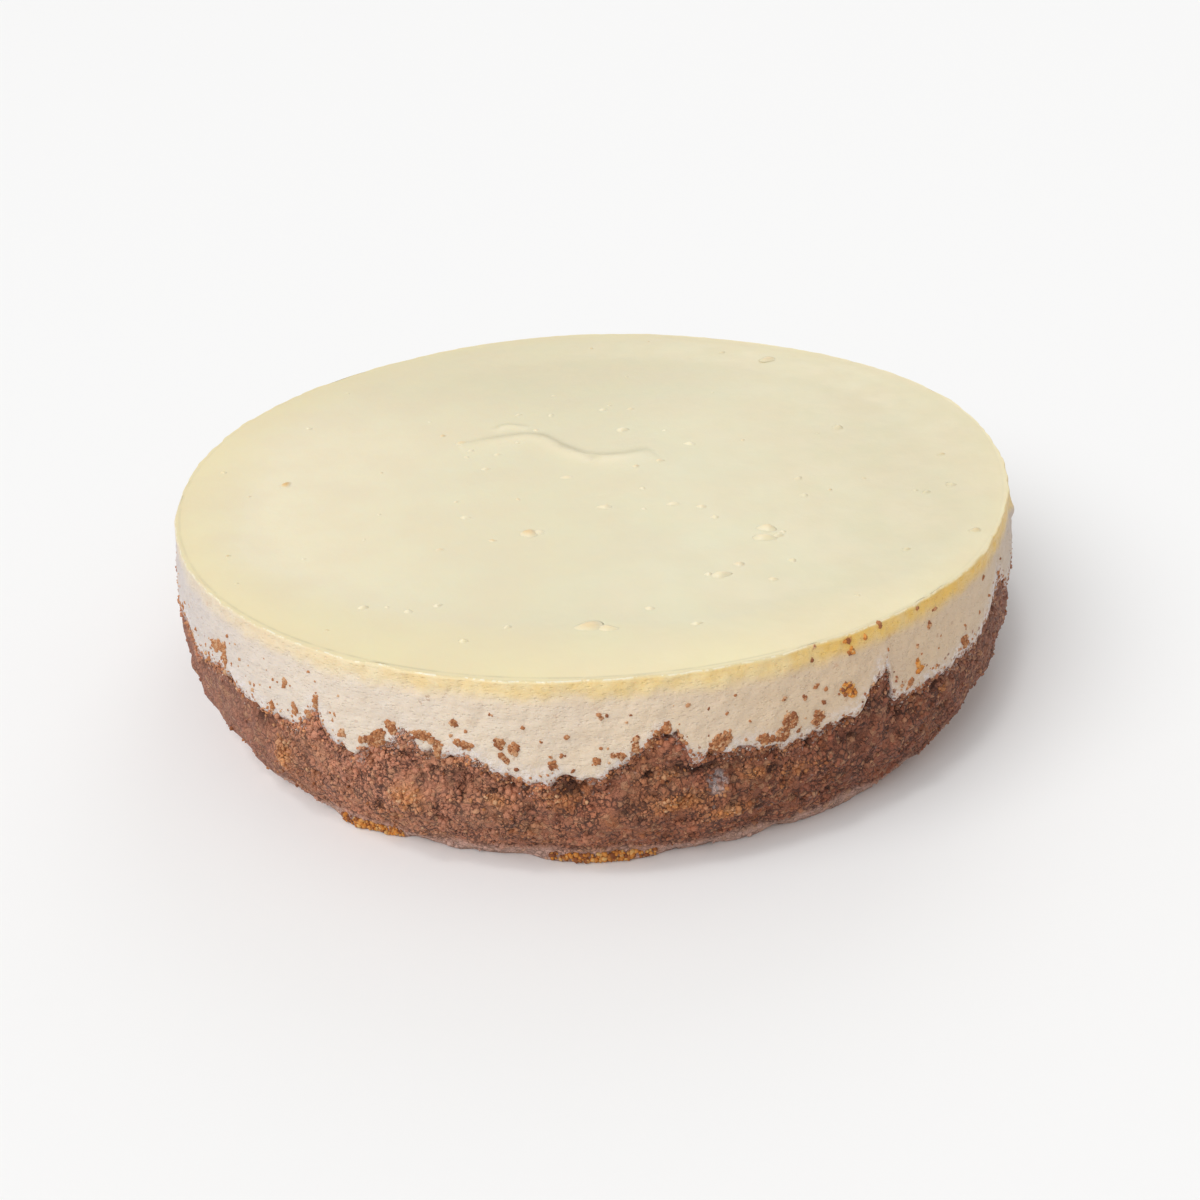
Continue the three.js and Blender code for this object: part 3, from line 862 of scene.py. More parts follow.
@dataclass(frozen=True)
class CheeseFinish:
    """The set filling: a smooth cream skin, a yellow band under the rim and an airy white side. The mesh
    carries the numbers that FILLING_MARKS names.
    """

    effects: Effects

    def skin_colour(self, tree: Tree) -> bpy.types.NodeSocket:
        """The top: cream, more yellow to the front rim, in slow uneven clouds; painted light left, painted shade right
        and back.
        """
        cloud = self.effects.add_cloud(tree, 38.0)
        blotch = self.effects.add_cloud(tree, 13.0)
        fine = self.effects.add_cloud(tree, 3.5)
        colour = tree.mix(tree.math("MULTIPLY", cloud, 0.6), Shade.SKIN, Shade.SKIN_GREEN)
        # Painted light: the left of the skin, the fronts of the crease and fold, and the blisters made paler.
        colour = tree.mix(tree.carried("pale"), colour, Shade.SKIN_LIT)
        colour = tree.mix(tree.math("MULTIPLY", tree.carried("yellow"), 0.85), colour, Shade.SKIN_YELLOW)
        # Painted shade: the skin darker towards the right and back.
        colour = tree.mix(tree.carried("far_shade"), colour, Shade.SKIN_SHADE)
        colour = tree.mix(tree.math("MULTIPLY", blotch, 0.2), colour, Shade.WHITE_WARM)
        return tree.mix(tree.math("MULTIPLY", fine, 0.09), colour, Shade.BAND)

    def side_colour(self, tree: Tree) -> bpy.types.NodeSocket:
        """The side: white with level streaks of a warmer white, a painted cool tint on the left, painted lavender and
        tan shade to the right and in the pores, the band above, and crumbs with a seeping grey below.
        """
        flat = tree.node("Mapping", {"Vector": tree.place(), "Scale": (1.0, 1.0, 2.4)}).outputs[0]
        streak = tree.ramp(tree.noise(flat, 4.5, 4.0, 0.6), 0.3, 0.75)
        cloud = self.effects.add_cloud(tree, 12.0)
        colour = tree.mix(tree.math("MULTIPLY", streak, 0.55), Shade.WHITE, Shade.WHITE_WARM)
        colour = tree.mix(tree.math("MULTIPLY", cloud, 0.14), colour, Shade.WHITE_COOL)
        # Painted light and shade: a cool tint on the lit left, lavender-grey shade at the right and by the tall peak.
        colour = tree.mix(tree.carried("cool_tint_and_shade"), colour, Shade.WHITE_COOL)
        # Painted shade: the side warmer and darker at the front right, away from the key light.
        colour = tree.mix(tree.carried("far_shade"), colour, Shade.WHITE_TAN_SHADE)
        # Painted shade: the white darker towards the middle of each pore.
        pore = tree.node("TexVoronoi", {"Vector": flat, "Scale": 1 / (1.5 * MM)}).outputs["Distance"]
        colour = tree.mix(tree.math("MULTIPLY", tree.ramp(pore, 0.18, 0.05), 0.18), colour, Shade.WHITE_SEEP)
        speck = tree.ramp(tree.noise(tree.place(), 0.6, 3.0, 0.7), 0.35, 0.65)
        seep = tree.math("MULTIPLY", tree.carried("seep"), tree.math("ADD", speck, 0.2))
        colour = tree.mix(tree.math("MULTIPLY", seep, 0.9), colour, Shade.WHITE_SEEP)
        foam = tree.ramp(tree.noise(tree.place(), 1.1, 4.0, 0.75), 0.43, 0.62)
        froth = tree.math("MULTIPLY", tree.carried("froth"), tree.math("ADD", foam, 0.15, clamp=True))
        colour = tree.mix(froth, colour, Shade.WHITE_FROTH)
        crumbs = self.effects.scattered_cells(tree, 0.8, tree.carried("near"), 4.0)
        crumb = tree.mix(self.effects.add_cloud(tree, 2.0), Shade.CRUMB_DARK, Shade.CRUMB_GOLD)
        colour = tree.mix(tree.math("MULTIPLY", crumbs, 0.8), colour, crumb)
        mottle = tree.math("MULTIPLY", self.effects.add_cloud(tree, 3.0), 0.35)
        deep = tree.math("ADD", tree.carried("golden"), tree.math("SUBTRACT", mottle, 0.15), clamp=True)
        return tree.mix(tree.carried("band"), colour, tree.mix(deep, Shade.BAND, Shade.BAND_DEEP))

    def material(self) -> bpy.types.Material:
        """Builds the material of the filling and of its blisters."""
        made = bpy.data.materials.new("baked_cheese")
        tree = Tree(made)
        top = tree.carried("top")
        colour = tree.mix(top, self.side_colour(tree), self.skin_colour(tree))
        colour = tree.mix(tree.carried("spot"), colour, Shade.SKIN_SPOT)
        broken = tree.ramp(tree.noise(tree.place(), 2.6, 3.0, 0.75), 0.49, 0.56)
        glint = tree.math("MULTIPLY", tree.carried("glint"), broken)
        faint = tree.ramp(tree.noise(tree.place(), 5.0, 3.0, 0.6), 0.35, 0.65)
        # Painted shade behind the crease and fold, and a thin grey line just inside the rim, broken by noise.
        line = tree.math("MULTIPLY", tree.carried("line"), tree.math("ADD", faint, 0.35, clamp=True))
        colour = tree.mix(line, colour, Shade.SKIN_LINE_SHADE)
        colour = tree.mix(glint, colour, Shade.GLINT)
        flat = tree.node("Mapping", {"Vector": tree.place(), "Scale": (1.0, 1.0, 1.9)}).outputs[0]
        pores = tree.node("TexVoronoi", {"Vector": flat, "Scale": 1 / (1.1 * MM)}).outputs["Distance"]
        waves = tree.math("MULTIPLY", tree.noise(flat, 1.9, 4.0, 0.55), 1.7)
        fluff = tree.math("ADD", 0.5, tree.math("MULTIPLY", tree.carried("near"), 2.0))
        fluff = tree.math("MULTIPLY", tree.noise(tree.place(), 0.8, 3.0, 0.65), fluff)
        airy = tree.math("ADD", tree.math("MULTIPLY", tree.ramp(pores, 0.08, 0.4), 0.6), waves)
        airy = tree.math("ADD", airy, fluff)
        smooth = tree.math("MULTIPLY", tree.noise(tree.place(), 3.0, 2.0), 0.35)
        height = tree.node("Mix", {0: top, 2: airy, 3: smooth}, data_type="FLOAT").outputs[0]
        bump = tree.node("Bump", {"Strength": 0.6, "Distance": 0.35 * MM, "Height": height})
        skin_gloss = tree.math("ADD", 0.3, tree.math("MULTIPLY", self.effects.add_cloud(tree, 8.0), 0.12))
        glossy = tree.math("MAXIMUM", top, tree.math("MULTIPLY", tree.carried("band"), 0.7))
        rough = tree.node("Mix", {0: glossy, 2: 0.62, 3: skin_gloss}, data_type="FLOAT").outputs[0]
        rough = tree.node("Mix", {0: glint, 2: rough, 3: 0.12}, data_type="FLOAT").outputs[0]
        shader = tree.node("BsdfPrincipled", {"Base Color": colour, "Roughness": rough, "Normal": bump.outputs[0]})
        shader.inputs["Subsurface Weight"].default_value = 0.12
        shader.inputs["Subsurface Radius"].default_value = (1.0, 0.7, 0.4)
        shader.inputs["Subsurface Scale"].default_value = 2.5 * MM
        shader.inputs["Specular IOR Level"].default_value = 0.4
        tree.node("OutputMaterial", {"Surface": shader.outputs[0]})
        return made


CRUMB_MARKS = dict.fromkeys(("hollow_shade", "smooth", "pink_and_lit", "milk", "smear", "tan", "side_shade"), 0.0)
FILLING_MARKS = dict.fromkeys(
    ("top", "pale", "yellow", "spot", "line", "glint", "band", "golden", "seep", "near", "froth", "cool_tint_and_shade", "far_shade"), 0.0
)


@dataclass
class CrumbBase:
    """The pressed biscuit layer: a closed core with crumb-like cells all over its side."""

    form: CakeForm
    columns: int = 1280
    rows: int = 62
    over_edge: float = 3.0
    coarse_cell: float = 2.7
    fine_cell: float = 1.25
    smear: Lump = Lump(-78.0, 19.4, 1.0, 1.3, 2.6)
    ambers: tuple[Lump, ...] = (
        Lump(-128.6, 16.8, 1.2, 1.1, 3.8),
        Lump(-111.4, 16.9, 1.2, 1.7, 2.4),
        Lump(-101.4, 18.6, 0.8, 1.5, 1.2),
        Lump(-94.6, 19.2, 0.35, 2.5, 1.6),
        Lump(-83.6, 22.8, 0.6, 1.6, 1.4),
        Lump(-82.2, 16.7, 1.0, 2.8, 2.1),
        Lump(-77.0, 12.6, 1.0, 2.0, 1.4),
        Lump(-74.2, 20.6, 0.8, 1.4, 1.2),
        Lump(-68.9, 18.6, 0.4, 2.4, 1.8),
        Lump(-47.0, 21.0, 0.6, 0.8, 0.9),
    )
    hollows: tuple[Lump, ...] = (
        Lump(-132.6, 23.1, 1.2, 1.1, 1.9),
        Lump(-130.3, 22.7, 0.9, 0.9, 0.9),
        Lump(-125.6, 21.6, 0.8, 0.5, 0.9),
        Lump(-118.8, 23.2, 0.9, 0.9, 0.7),
        Lump(-109.5, 20.5, 0.7, 0.5, 1.1),
        Lump(-103.5, 23.0, 0.7, 1.6, 0.6),
        Lump(-99.8, 21.9, 0.8, 0.7, 0.6),
        Lump(-85.8, 23.4, 0.8, 0.8, 0.5),
        Lump(-81, 22.6, 0.9, 1.8, 0.6),
        Lump(-72.4, 18.4, 0.6, 1.0, 0.5),
        Lump(-64.6, 25.8, 0.9, 0.6, 0.9),
        Lump(-61.5, 20.9, 0.8, 1.5, 0.7),
    )

    def pressed(self, degrees: np.ndarray) -> np.ndarray:
        """How smoothly the crumbs are pressed: most at the left of the front, and in places at the back."""
        back = 0.5 + 0.5 * noise_round(np.radians(degrees), 0.0, 9, 19)
        left = 1 - ease((np.abs(turn_between(degrees, -158)) - 20) / 17)
        front = left + 0.6 * bell(turn_between(degrees, -22), 20)
        return np.maximum(front, 0.6 * back * ease((np.abs(turn_between(degrees, -90)) - 80) / 40))

    def relief(self, angle: np.ndarray, height: np.ndarray) -> tuple[np.ndarray, dict[str, np.ndarray]]:
        """The side's true radius: the form's, with two sizes of domed cells and torn hollows. The cells
        fade towards the compact foot and grow towards the ragged edge.

        Args:
            angle: Angles in radians.
            height: Heights in millimetres.

        Returns:
            The radius, and the numbers that the material reads.
        """
        edge = self.form.crumb_edge(angle)
        degrees = turn_between(np.degrees(angle), 0)
        pressed = self.pressed(degrees) * (1 - 0.6 * ease((height - edge + 3) / 3))
        rough = blend(0.3, 1.0, ease((height - 2.5) / 5)) + 0.45 * ease((height - edge + 7) / 6)
        rough = rough * (1 - 0.75 * pressed)
        coarse_columns = round(TURN * self.form.tin_radius / self.coarse_cell)
        fine_columns = round(TURN * self.form.tin_radius / self.fine_cell)
        wander = 0.006 * noise_round(angle, height / 3.0, 200, 17)
        coarse, tone = cells_round(angle + wander, height / self.coarse_cell, coarse_columns, 50)
        fine, _ = cells_round(angle + wander, height / self.fine_cell, fine_columns, 60)
        torn = ease((noise_round(angle + wander, height / 2.4, 250, 23) - 0.25) / 0.5)
        inward = 0.55 * (1 - coarse) * blend(0.4, 1.3, tone) + 0.5 * (1 - fine) + 0.9 * torn
        deeper = ease((noise_round(angle, height / 3.4, 170, 29) - 0.45) / 0.35) * ease((height - edge + 9) / 5)
        hidden = 0.9 * ease((height - edge - 1.0) / 1.5)
        dark = sum(hollow_shade.reach(degrees, height) for hollow_shade in self.hollows) * blend(0.5, 1.5, 1 - fine)
        groove = 0.4 * bell(height - 4.4 - 0.6 * noise_round(angle, 0.0, 30, 27), 0.5)
        carved = 1.4 * np.tanh(rough * (inward + 0.9 * deeper) / 1.4)
        tan = np.clip(sum(patch.reach(degrees, height) for patch in self.ambers), 0, 1)
        radius = self.form.crumb_radius(angle, height) - carved - groove - 0.7 * dark + 0.15 - hidden + 0.3 * tan
        # Painted shade on the right, away from the key light, fading out round the back.
        side_shade = ease((degrees + 128) / 74) * (1 - ease((degrees - 10) / 60))
        foot = 1 - ease((height - 1.8) / 3.9)
        smear = self.smear.reach(degrees, height)
        return self.form.kept_inside(angle, radius), {
            # The hollows' mark is painted shade: torn pits, deep pits, the groove at the foot and the dark hollows.
            "hollow_shade": np.clip(rough * (0.9 * torn * (1 - fine) + 0.7 * deeper) + 0.6 * groove + 1.2 * dark, 0, 1),
            "smooth": np.clip(np.maximum(0.85 * foot, 0.93 * pressed), 0, 1),
            # This mark is the pink of pressed crumbs, and painted light at the overhung foot and on two patches.
            "pink_and_lit": np.maximum.reduce(
                [
                    foot,
                    0.18 * pressed,
                    0.2 * bell(turn_between(degrees, -118), 22),
                    0.26 * bell(turn_between(degrees, -22), 19),
                ]
            ),
            "milk": np.clip((height - edge + 3.0) / 3.6, 0, 1),
            "smear": smear,
            "tan": tan,
            # This mark is painted shade on the right and over the pressed parts, less on the tan lumps.
            "side_shade": np.maximum(side_shade, 0.9 * pressed) * (1 - 0.8 * tan),
        }

    def build(self) -> bpy.types.Object:
        """Makes the core: a flat underside, the side in even rows, and a plain top under the filling."""
        stack = RingStack((0, 0, 0), (0, 0, self.form.edge_height))
        shares = (0.3, 0.6, 0.84, 0.94, 0.98)
        for step, share in enumerate(shares):
            count = self.columns // 2 ** (len(shares) - step)
            stack.add(self.form.side_radius(angles(count), 0.0) * share, 0.0, **CRUMB_MARKS)
        angle = angles(self.columns)
        edge = self.form.crumb_edge(angle)
        for share in np.linspace(0, 1, self.rows):
            height = share * (edge + self.over_edge)
            radius, values = self.relief(angle, height)
            stack.add(radius, height, **values)
        for step, share in enumerate(reversed(shares)):
            count = self.columns // 2 ** (step + 1)
            kept = ease((share - 0.8) / 0.18)
            level = blend(self.form.edge_height, self.form.crumb_edge(angles(count)), kept)
            stack.add(self.form.side_radius(angles(count), self.form.height) * share, level, **CRUMB_MARKS)
        return stack.piece("crumb_core")


@dataclass
class CheeseFilling:
    """The set filling, with its dished skin and crease, its thin rim and the soft white side."""

    form: CakeForm
    columns: int = 1280
    side_rows: int = 26
    rim_rounding: float = 0.5
    rim_lip: float = 0.07
    band_depth: float = 3.5
    crease: Path = ((-33, 13), (-23, 16.4), (-14, 16.6), (-8, 9), (-1, 2.3), (7, 1.8), (15, 5))
    fold: Path = ((-25, 22.5), (-22, 25.5), (-16, 23.8))
    full_radius: float = 94.0

    def yellowing(self, angle: np.ndarray, inward: np.ndarray) -> np.ndarray:
        """How yellow the skin is: most at the rim, and further in along the front and the left."""
        degrees = np.degrees(angle)
        reach = 9 + 12 * bell(turn_between(degrees, -100), 45) + 6 * bell(turn_between(degrees, 170), 40)
        wander = 1 + 0.3 * noise_round(angle, inward / 12, 24, 98)
        return np.clip(1 - inward / (reach * wander), 0, 1) ** 0.8

    def skin_level(self, x: np.ndarray, y: np.ndarray) -> np.ndarray:
        """The skin's height: the form's dish, wandering, with a slow swell, the crease and a small fold."""
        angle = np.arctan2(y, x)
        inward = self.form.side_radius(angle, self.form.height) - np.hypot(x, y)
        wander = 1 + 0.35 * noise_round(angle, 0.0, 7, 97) * ease(inward / 8)
        swell = 0.10 * np.sin(x / 17 + 1.3) * np.sin(y / 14 + 0.4) + 0.05 * np.sin(x / 6.5 + y / 9)
        ridges = ridge(x, y, self.crease, 1.05, 2.1) + ridge(x, y, self.fold, 0.5, 1.1)
        lip = self.rim_lip * bell(inward - self.rim_rounding, 0.25)
        return self.form.skin_height(inward * wander) + (swell + ridges) * ease(inward / 4) + lip

    def crease_shading(self, x: np.ndarray, y: np.ndarray) -> dict[str, np.ndarray]:
        """Painted shade behind the crease and its fold, and painted light in front of them: bells beside each curve,
        strongest halfway along it.
        """
        dark = 0.6 * beside(x, y, self.crease, 1.2, 1.9) + 0.4 * beside(x, y, self.fold, 0.9, 1.0)
        light = 0.6 * beside(x, y, self.crease, -2.0, 2.4) + 0.5 * beside(x, y, self.fold, -1.6, 1.6)
        return {"line": np.clip(dark, 0, 1), "pale": np.clip(light, 0, 1)}

    def skin_values(self, x: np.ndarray, y: np.ndarray) -> dict[str, np.ndarray]:
        """The numbers that the skin's material reads: its yellowing, its painted light and shade, and the line at the
        rim.
        """
        angle = np.arctan2(y, x)
        inward = self.form.side_radius(angle, self.form.height) - np.hypot(x, y)
        front = 0.15 + 0.85 * bell(turn_between(np.degrees(angle), -105), 60)
        # Painted light: the skin paler towards the left, where the key light comes from.
        pale = ease((10 - x) / 90) * 0.8
        marks = {"top": 1.0, "pale": pale, "yellow": self.yellowing(angle, inward)}
        crease = self.crease_shading(x, y)
        # Painted shade: the skin darker towards the right and the back, away from the key light.
        far = np.maximum(ease((x - 10) / 80), 0.7 * ease((y - 10) / 60))
        marks["far_shade"] = 0.8 * far * (1 - 0.4 * marks["yellow"])
        # A thin grey line just inside the front rim, and painted shade behind the crease.
        marks["line"] = np.maximum(0.6 * front * bell(inward - 1.05, 0.25), crease["line"])
        marks["pale"] = np.maximum(pale, crease["pale"])
        return FILLING_MARKS | marks

    def side_values(self, angle: np.ndarray, height: np.ndarray) -> dict[str, np.ndarray]:
        """The numbers that the side's material reads: the yellow band, its gold, the seeping edge, and painted light
        and shade.
        """
        edge = self.form.crumb_edge(angle)
        wavy = 0.45 * noise_round(angle, 0.0, 120, 71) + 0.4 * noise_round(angle, height / 1.6, 380, 72)
        below = self.form.height - height
        degrees = np.degrees(angle)
        low = 1 - ease((height - edge - 4) / 7)
        fringe = 1 - ease((height - edge - 0.8 - 1.5 * noise_round(angle, 0.0, 90, 77)) / 4.4)
        froth = fringe * (0.45 + 0.25 * bell(turn_between(degrees, -40), 22))
        # From here the fringe is lavender painted shade by the crumbs, strongest at the right; far is cool shade far
        # right.
        fringe = fringe * (0.3 + 0.5 * bell(turn_between(degrees, -38), 30))
        far = 0.8 * bell(turn_between(degrees, -10), 26)
        # Lavender-grey painted shade in mottles at the right, and just above the tall peak.
        blotch = bell(turn_between(degrees, -27), 26) * low * ease(0.3 + noise_round(angle, height / 4, 70, 76))
        blotch = np.maximum(blotch, bell(turn_between(degrees, -57), 3.2) * bell(height - 33, 4))
        golden = 0.15 + 0.85 * bell(turn_between(degrees, -46), 34) + 0.25 * noise_round(angle, 0.0, 40, 75)
        return FILLING_MARKS | {
            "band": (1 - ease((below - self.band_depth - wavy + 1.8) / 3.2))
            * (1 - 0.7 * bell(turn_between(degrees, -150), 36)),
            "golden": np.clip(golden, 0, 1),
            "seep": 1 - ease((height - edge - 0.2) / 2.0),
            "near": np.clip(1 - (height - edge - 0.3) / (3.8 + 3 * bell(turn_between(degrees, -35), 25)), 0, 1),
            "froth": froth,
            # This mark is painted: cool light on the left, lavender-grey shade at the right, by the tall peak and the
            # crumbs.
            "cool_tint_and_shade": np.maximum.reduce([0.8 * bell(turn_between(degrees, -168), 44), 0.85 * blotch, fringe, far]),
            # This mark is tan painted shade at the front right, away from the key light.
            "far_shade": 0.8 * bell(turn_between(degrees, -54), 36),
        }

    def ragged_edge(self, angle: np.ndarray) -> np.ndarray:
        """The filling's lower edge: the crumbs' edge swayed sideways, with drips and nicks of a millimetre."""
        sway = 0.011 * noise_round(angle, 1.0, 260, 94) + 0.006 * noise_round(angle, 2.0, 620, 96)
        drips = 0.9 * noise_round(angle, 0.0, 210, 91) + 0.9 * noise_round(angle, 3.0, 560, 92)
        return self.form.crumb_edge(angle + sway) + drips

    def side_radius(self, angle: np.ndarray, height: np.ndarray) -> np.ndarray:
        """The side with level waves, shallow dents and a lower lip that tucks in over the crumbs."""
        waves = 0.17 * noise_round(angle, height / 1.6, 170, 81) + 0.1 * noise_round(angle, height / 0.9, 420, 82)
        slow = 0.14 * noise_round(angle, height / 4.0, 200, 83)
        dents, _ = cells_round(angle, height / 1.9, 330, 85)
        uneven = (waves + slow - 0.25 * (1 - dents)) * ease((self.form.height - height) / 1.2)
        torn = 0.2 * noise_round(angle, 0.0, 260, 84) * ease((height - self.form.height + 3) / 3)
        ragged = 0.45 * noise_round(angle, height / 6, 330, 86) * bell(turn_between(np.degrees(angle), -20), 13)
        uneven = uneven + ragged * ease((self.form.height - height - 3) / 3)
        tuck = 0.8 * (1 - ease((height - self.ragged_edge(angle) + 0.1) / 1.1))
        return self.form.kept_inside(angle, self.form.filling_radius(angle, height) + uneven + torn - tuck)

    def build(self) -> bpy.types.Object:
        """Makes the filling: a plain underside, the side in even rows, the rounded rim and the skin."""
        form = self.form
        stack = RingStack((0, 0, form.edge_height + 0.3), (0, 0, form.height - form.dish_depth))
        shares = (0.3, 0.6, 0.84, 0.94, 0.98)
        for step, share in enumerate(shares):
            count = self.columns // 2 ** (len(shares) - step)
            kept = ease((share - 0.8) / 0.18)
            level = blend(form.edge_height, form.crumb_edge(angles(count)), kept) + 0.3
            stack.add(form.side_radius(angles(count), form.height) * share, level, **FILLING_MARKS)
        angle = angles(self.columns)
        low = self.ragged_edge(angle)
        high = form.height - self.rim_rounding
        for share in np.linspace(0, 1, self.side_rows):
            height = blend(low, high, share)
            stack.add(self.side_radius(angle, height), height, **self.side_values(angle, height))
        self.add_rim(stack, angle)
        self.add_skin(stack)
        return stack.piece("cheese_body")

    def add_rim(self, stack: RingStack, angle: np.ndarray) -> None:
        """Adds the rounded rim: a quarter turn from the side to the skin, with a thin raised lip."""
        start = self.side_radius(angle, np.full_like(angle, self.form.height - self.rim_rounding))
        lip = self.rim_lip * (1 + 0.9 * noise_round(angle, 0.0, 190, 95))
        front = 0.25 + 0.75 * bell(turn_between(np.degrees(angle), -115), 55)
        for share in np.linspace(0, 1, 6)[1:]:
            turn = share * math.pi / 2
            radius = start - self.rim_rounding * (1 - math.cos(turn))
            height = self.form.height - self.rim_rounding * (1 - math.sin(turn)) + lip * share
            values = self.side_values(angle, height)
            skin = self.skin_values(radius * np.cos(angle), radius * np.sin(angle))
            values |= {"top": np.full_like(angle, share), "yellow": skin["yellow"], "pale": skin["pale"]}
            values["glint"] = front * float(bell(np.array(share - 0.6), 0.16))
            stack.add(radius, height, **values)

    def add_skin(self, stack: RingStack) -> None:
        """Adds the skin's rings from the rim to the middle, with half the points at half the radius."""
        radii = [96.3, 96.1, 95.9, 95.6, 95.2, 94.7]
        radii += [*np.arange(self.full_radius, 45, -1.05), *np.arange(45, 8, -0.65), *np.arange(8, 1, -1.0)]
        for radius_now in radii:
            halvings = max(0, math.ceil(math.log2(self.full_radius / radius_now)))
            angle = angles(self.columns // 2**halvings)
            radius = self.form.side_radius(angle, self.form.height) * radius_now / self.form.top_radius
            x, y = radius * np.cos(angle), radius * np.sin(angle)
            stack.add(radius, self.skin_level(x, y), **self.skin_values(x, y))


@dataclass(frozen=True)
class Blister:
    """A baked bubble of the skin: its place, its length and depth, its rise and how browned it is."""

    x: float
    y: float
    long: float
    deep: float
    rise: float
    brown: float = 0.0


@dataclass
class BlisterField:
    """The skin's baked bubbles: low closed domes, uneven in outline and sunk a little into the skin."""

    filling: CheeseFilling
    breadth: float = 1.1
    lift: float = 1.5
    ceiling: float = 43.4
    points: int = 20
    rings: int = 9
    pimples: int = 46
    blisters: tuple[Blister, ...] = (
        Blister(-1.6, -78, 4.4, 2.6, 0.55, 0.35),
        Blister(1.8, -79, 3.0, 1.8, 0.4, 0.2),
        Blister(-14, -37.4, 3.2, 2.4, 0.55, 0.55),
        Blister(-11.8, -37.0, 2.2, 1.6, 0.3, 0.1),
        Blister(36.8, -40, 3.2, 2.2, 0.6, 0.2),
        Blister(35.6, -44.4, 3.8, 2.0, 0.55, 0.1),
        Blister(38.6, -43.6, 1.8, 1.4, 0.35),
        Blister(29, -55.4, 2.0, 1.2, 0.35, 0.15),
        Blister(24.8, -59.6, 3.2, 1.8, 0.5, 0.05),
        Blister(22.4, -59.2, 1.4, 1.0, 0.3),
        Blister(34.8, -62.2, 1.6, 1.0, 0.3, 0.1),
        Blister(79.0, -47.2, 2.0, 1.6, 0.4, 0.35),
        Blister(80.7, -23.2, 2.0, 1.8, 0.3),
        Blister(74.4, -25.8, 1.6, 1.4, 0.3),
        Blister(-72.6, -6.2, 2.2, 2.4, 0.35, 0.9),
        Blister(52.4, 67.2, 3.6, 3.2, 0.45, 0.3),
        Blister(8.2, 19.1, 2.2, 2.2, 0.45),
        Blister(-32.5, 15.2, 2.6, 1.6, 0.3, 0.35),
        Blister(62.5, 14.9, 2.0, 2.6, 0.45),
        Blister(-25.5, -2.0, 1.6, 1.3, 0.3, 0.1),
        Blister(-5.9, -8.6, 2.2, 1.8, 0.25, 0.15),
        Blister(2.5, -25.7, 2.4, 1.4, 0.35, 0.1),
        Blister(17.9, -25.7, 2.2, 1.3, 0.35, 0.05),
        Blister(24.0, -27.9, 1.8, 1.3, 0.35, 0.1),
        Blister(26.4, -33.5, 1.5, 1.2, 0.3),
        Blister(24.5, 8.4, 2.2, 1.6, 0.35),
        Blister(3.6, 34.2, 1.6, 1.8, 0.3),
        Blister(-10.2, 31.6, 1.4, 1.6, 0.25),
        Blister(-21.7, -40.1, 1.6, 0.9, 0.25, 0.4),
        Blister(-28.4, -28.3, 1.8, 1.2, 0.3),
        Blister(-32.6, -43.4, 1.5, 0.8, 0.25, 0.3),
        Blister(-23.1, 6.7, 1.6, 1.2, 0.25, 0.1),
        Blister(47.5, -15.2, 1.8, 1.4, 0.3),
        Blister(47.3, -24.5, 1.6, 1.3, 0.3),
        Blister(10, -71.8, 1.6, 1.0, 0.3, 0.1),
        Blister(18.3, -78.8, 1.8, 1.0, 0.3),
        Blister(-45.3, -66.9, 1.8, 1.1, 0.35),
        Blister(-30.8, -67.1, 1.5, 1.0, 0.3),
        Blister(-24.6, -81.9, 1.6, 1.0, 0.35),
        Blister(-16.8, -77.2, 1.4, 0.9, 0.3),
    )

    def all_blisters(self) -> np.ndarray:
        """One row for each bubble, the large ones and then small ones at seeded places."""
        rng = np.random.default_rng(73)
        large = [(b.x, b.y, b.long, b.deep, b.rise, b.brown) for b in self.blisters]
        radius = 92 * np.sqrt(rng.random(self.pimples))
        turn = rng.uniform(0, TURN, self.pimples)
        long = rng.uniform(0.7, 1.5, self.pimples)
        brown = 0.5 * rng.random(self.pimples) ** 4
        small = [radius * np.cos(turn), radius * np.sin(turn), long, long * 0.8, long * 0.2, brown]
        return np.vstack([large, np.column_stack(small)])

    def build(self) -> bpy.types.Object:
        """Makes the domes over two parameters, the turn t and the share s from crown to skirt: x = a s cos t,
        y = b s sin t and z = c (1 - s^2)^1.5, with the outline swollen by two slow sines. The last ring is
        well under the skin.
        """
        x, y, long, deep, rise, brown = self.all_blisters().T[:, :, None, None]
        long, deep = long * self.breadth, deep * self.breadth
        level = self.filling.skin_level(x.ravel(), y.ravel())[:, None, None]
        rise = np.minimum(rise * self.lift, self.ceiling - level)
        rng = np.random.default_rng(74)
        phase = rng.uniform(0, TURN, (2, len(x), 1, 1))
        turn = angles(self.points)[None, None]
        share = np.array([*np.linspace(0.06, 1, self.rings - 1), 0.8])[None, :, None]
        swell = 1 + 0.14 * np.sin(2 * turn + phase[0]) + 0.09 * np.sin(3 * turn + phase[1])
        out = share * swell * 0.65
        along, across = x + long * out * np.cos(turn), y + deep * out * np.sin(turn)
        sunk = np.where(np.arange(self.rings) == self.rings - 1, 0.5, 0.04)[None, :, None]
        up = rise * (1 - share**2) ** 1.5 * (sunk < 0.5) - sunk + 0 * turn
        points = np.stack([along, across, level + up], axis=-1)
        faces = self.dome_faces()
        every = (faces[None] + self.points * self.rings * np.arange(len(x))[:, None, None]).reshape(-1, 3)
        values = self.filling.skin_values(along.ravel(), across.ravel())
        # Painted light: the blisters paler than the skin, most at their crowns.
        values["pale"] = (0.6 + 0.4 * ease(1.2 - share) + 0 * turn + 0 * x).ravel()
        values["spot"] = (brown * ease(1.3 - 1.3 * share) + 0 * turn).ravel()
        carried = {key: np.broadcast_to(value, along.size) for key, value in values.items()}
        return mesh_object("skin_blisters", points.reshape(-1, 3), every, carried)

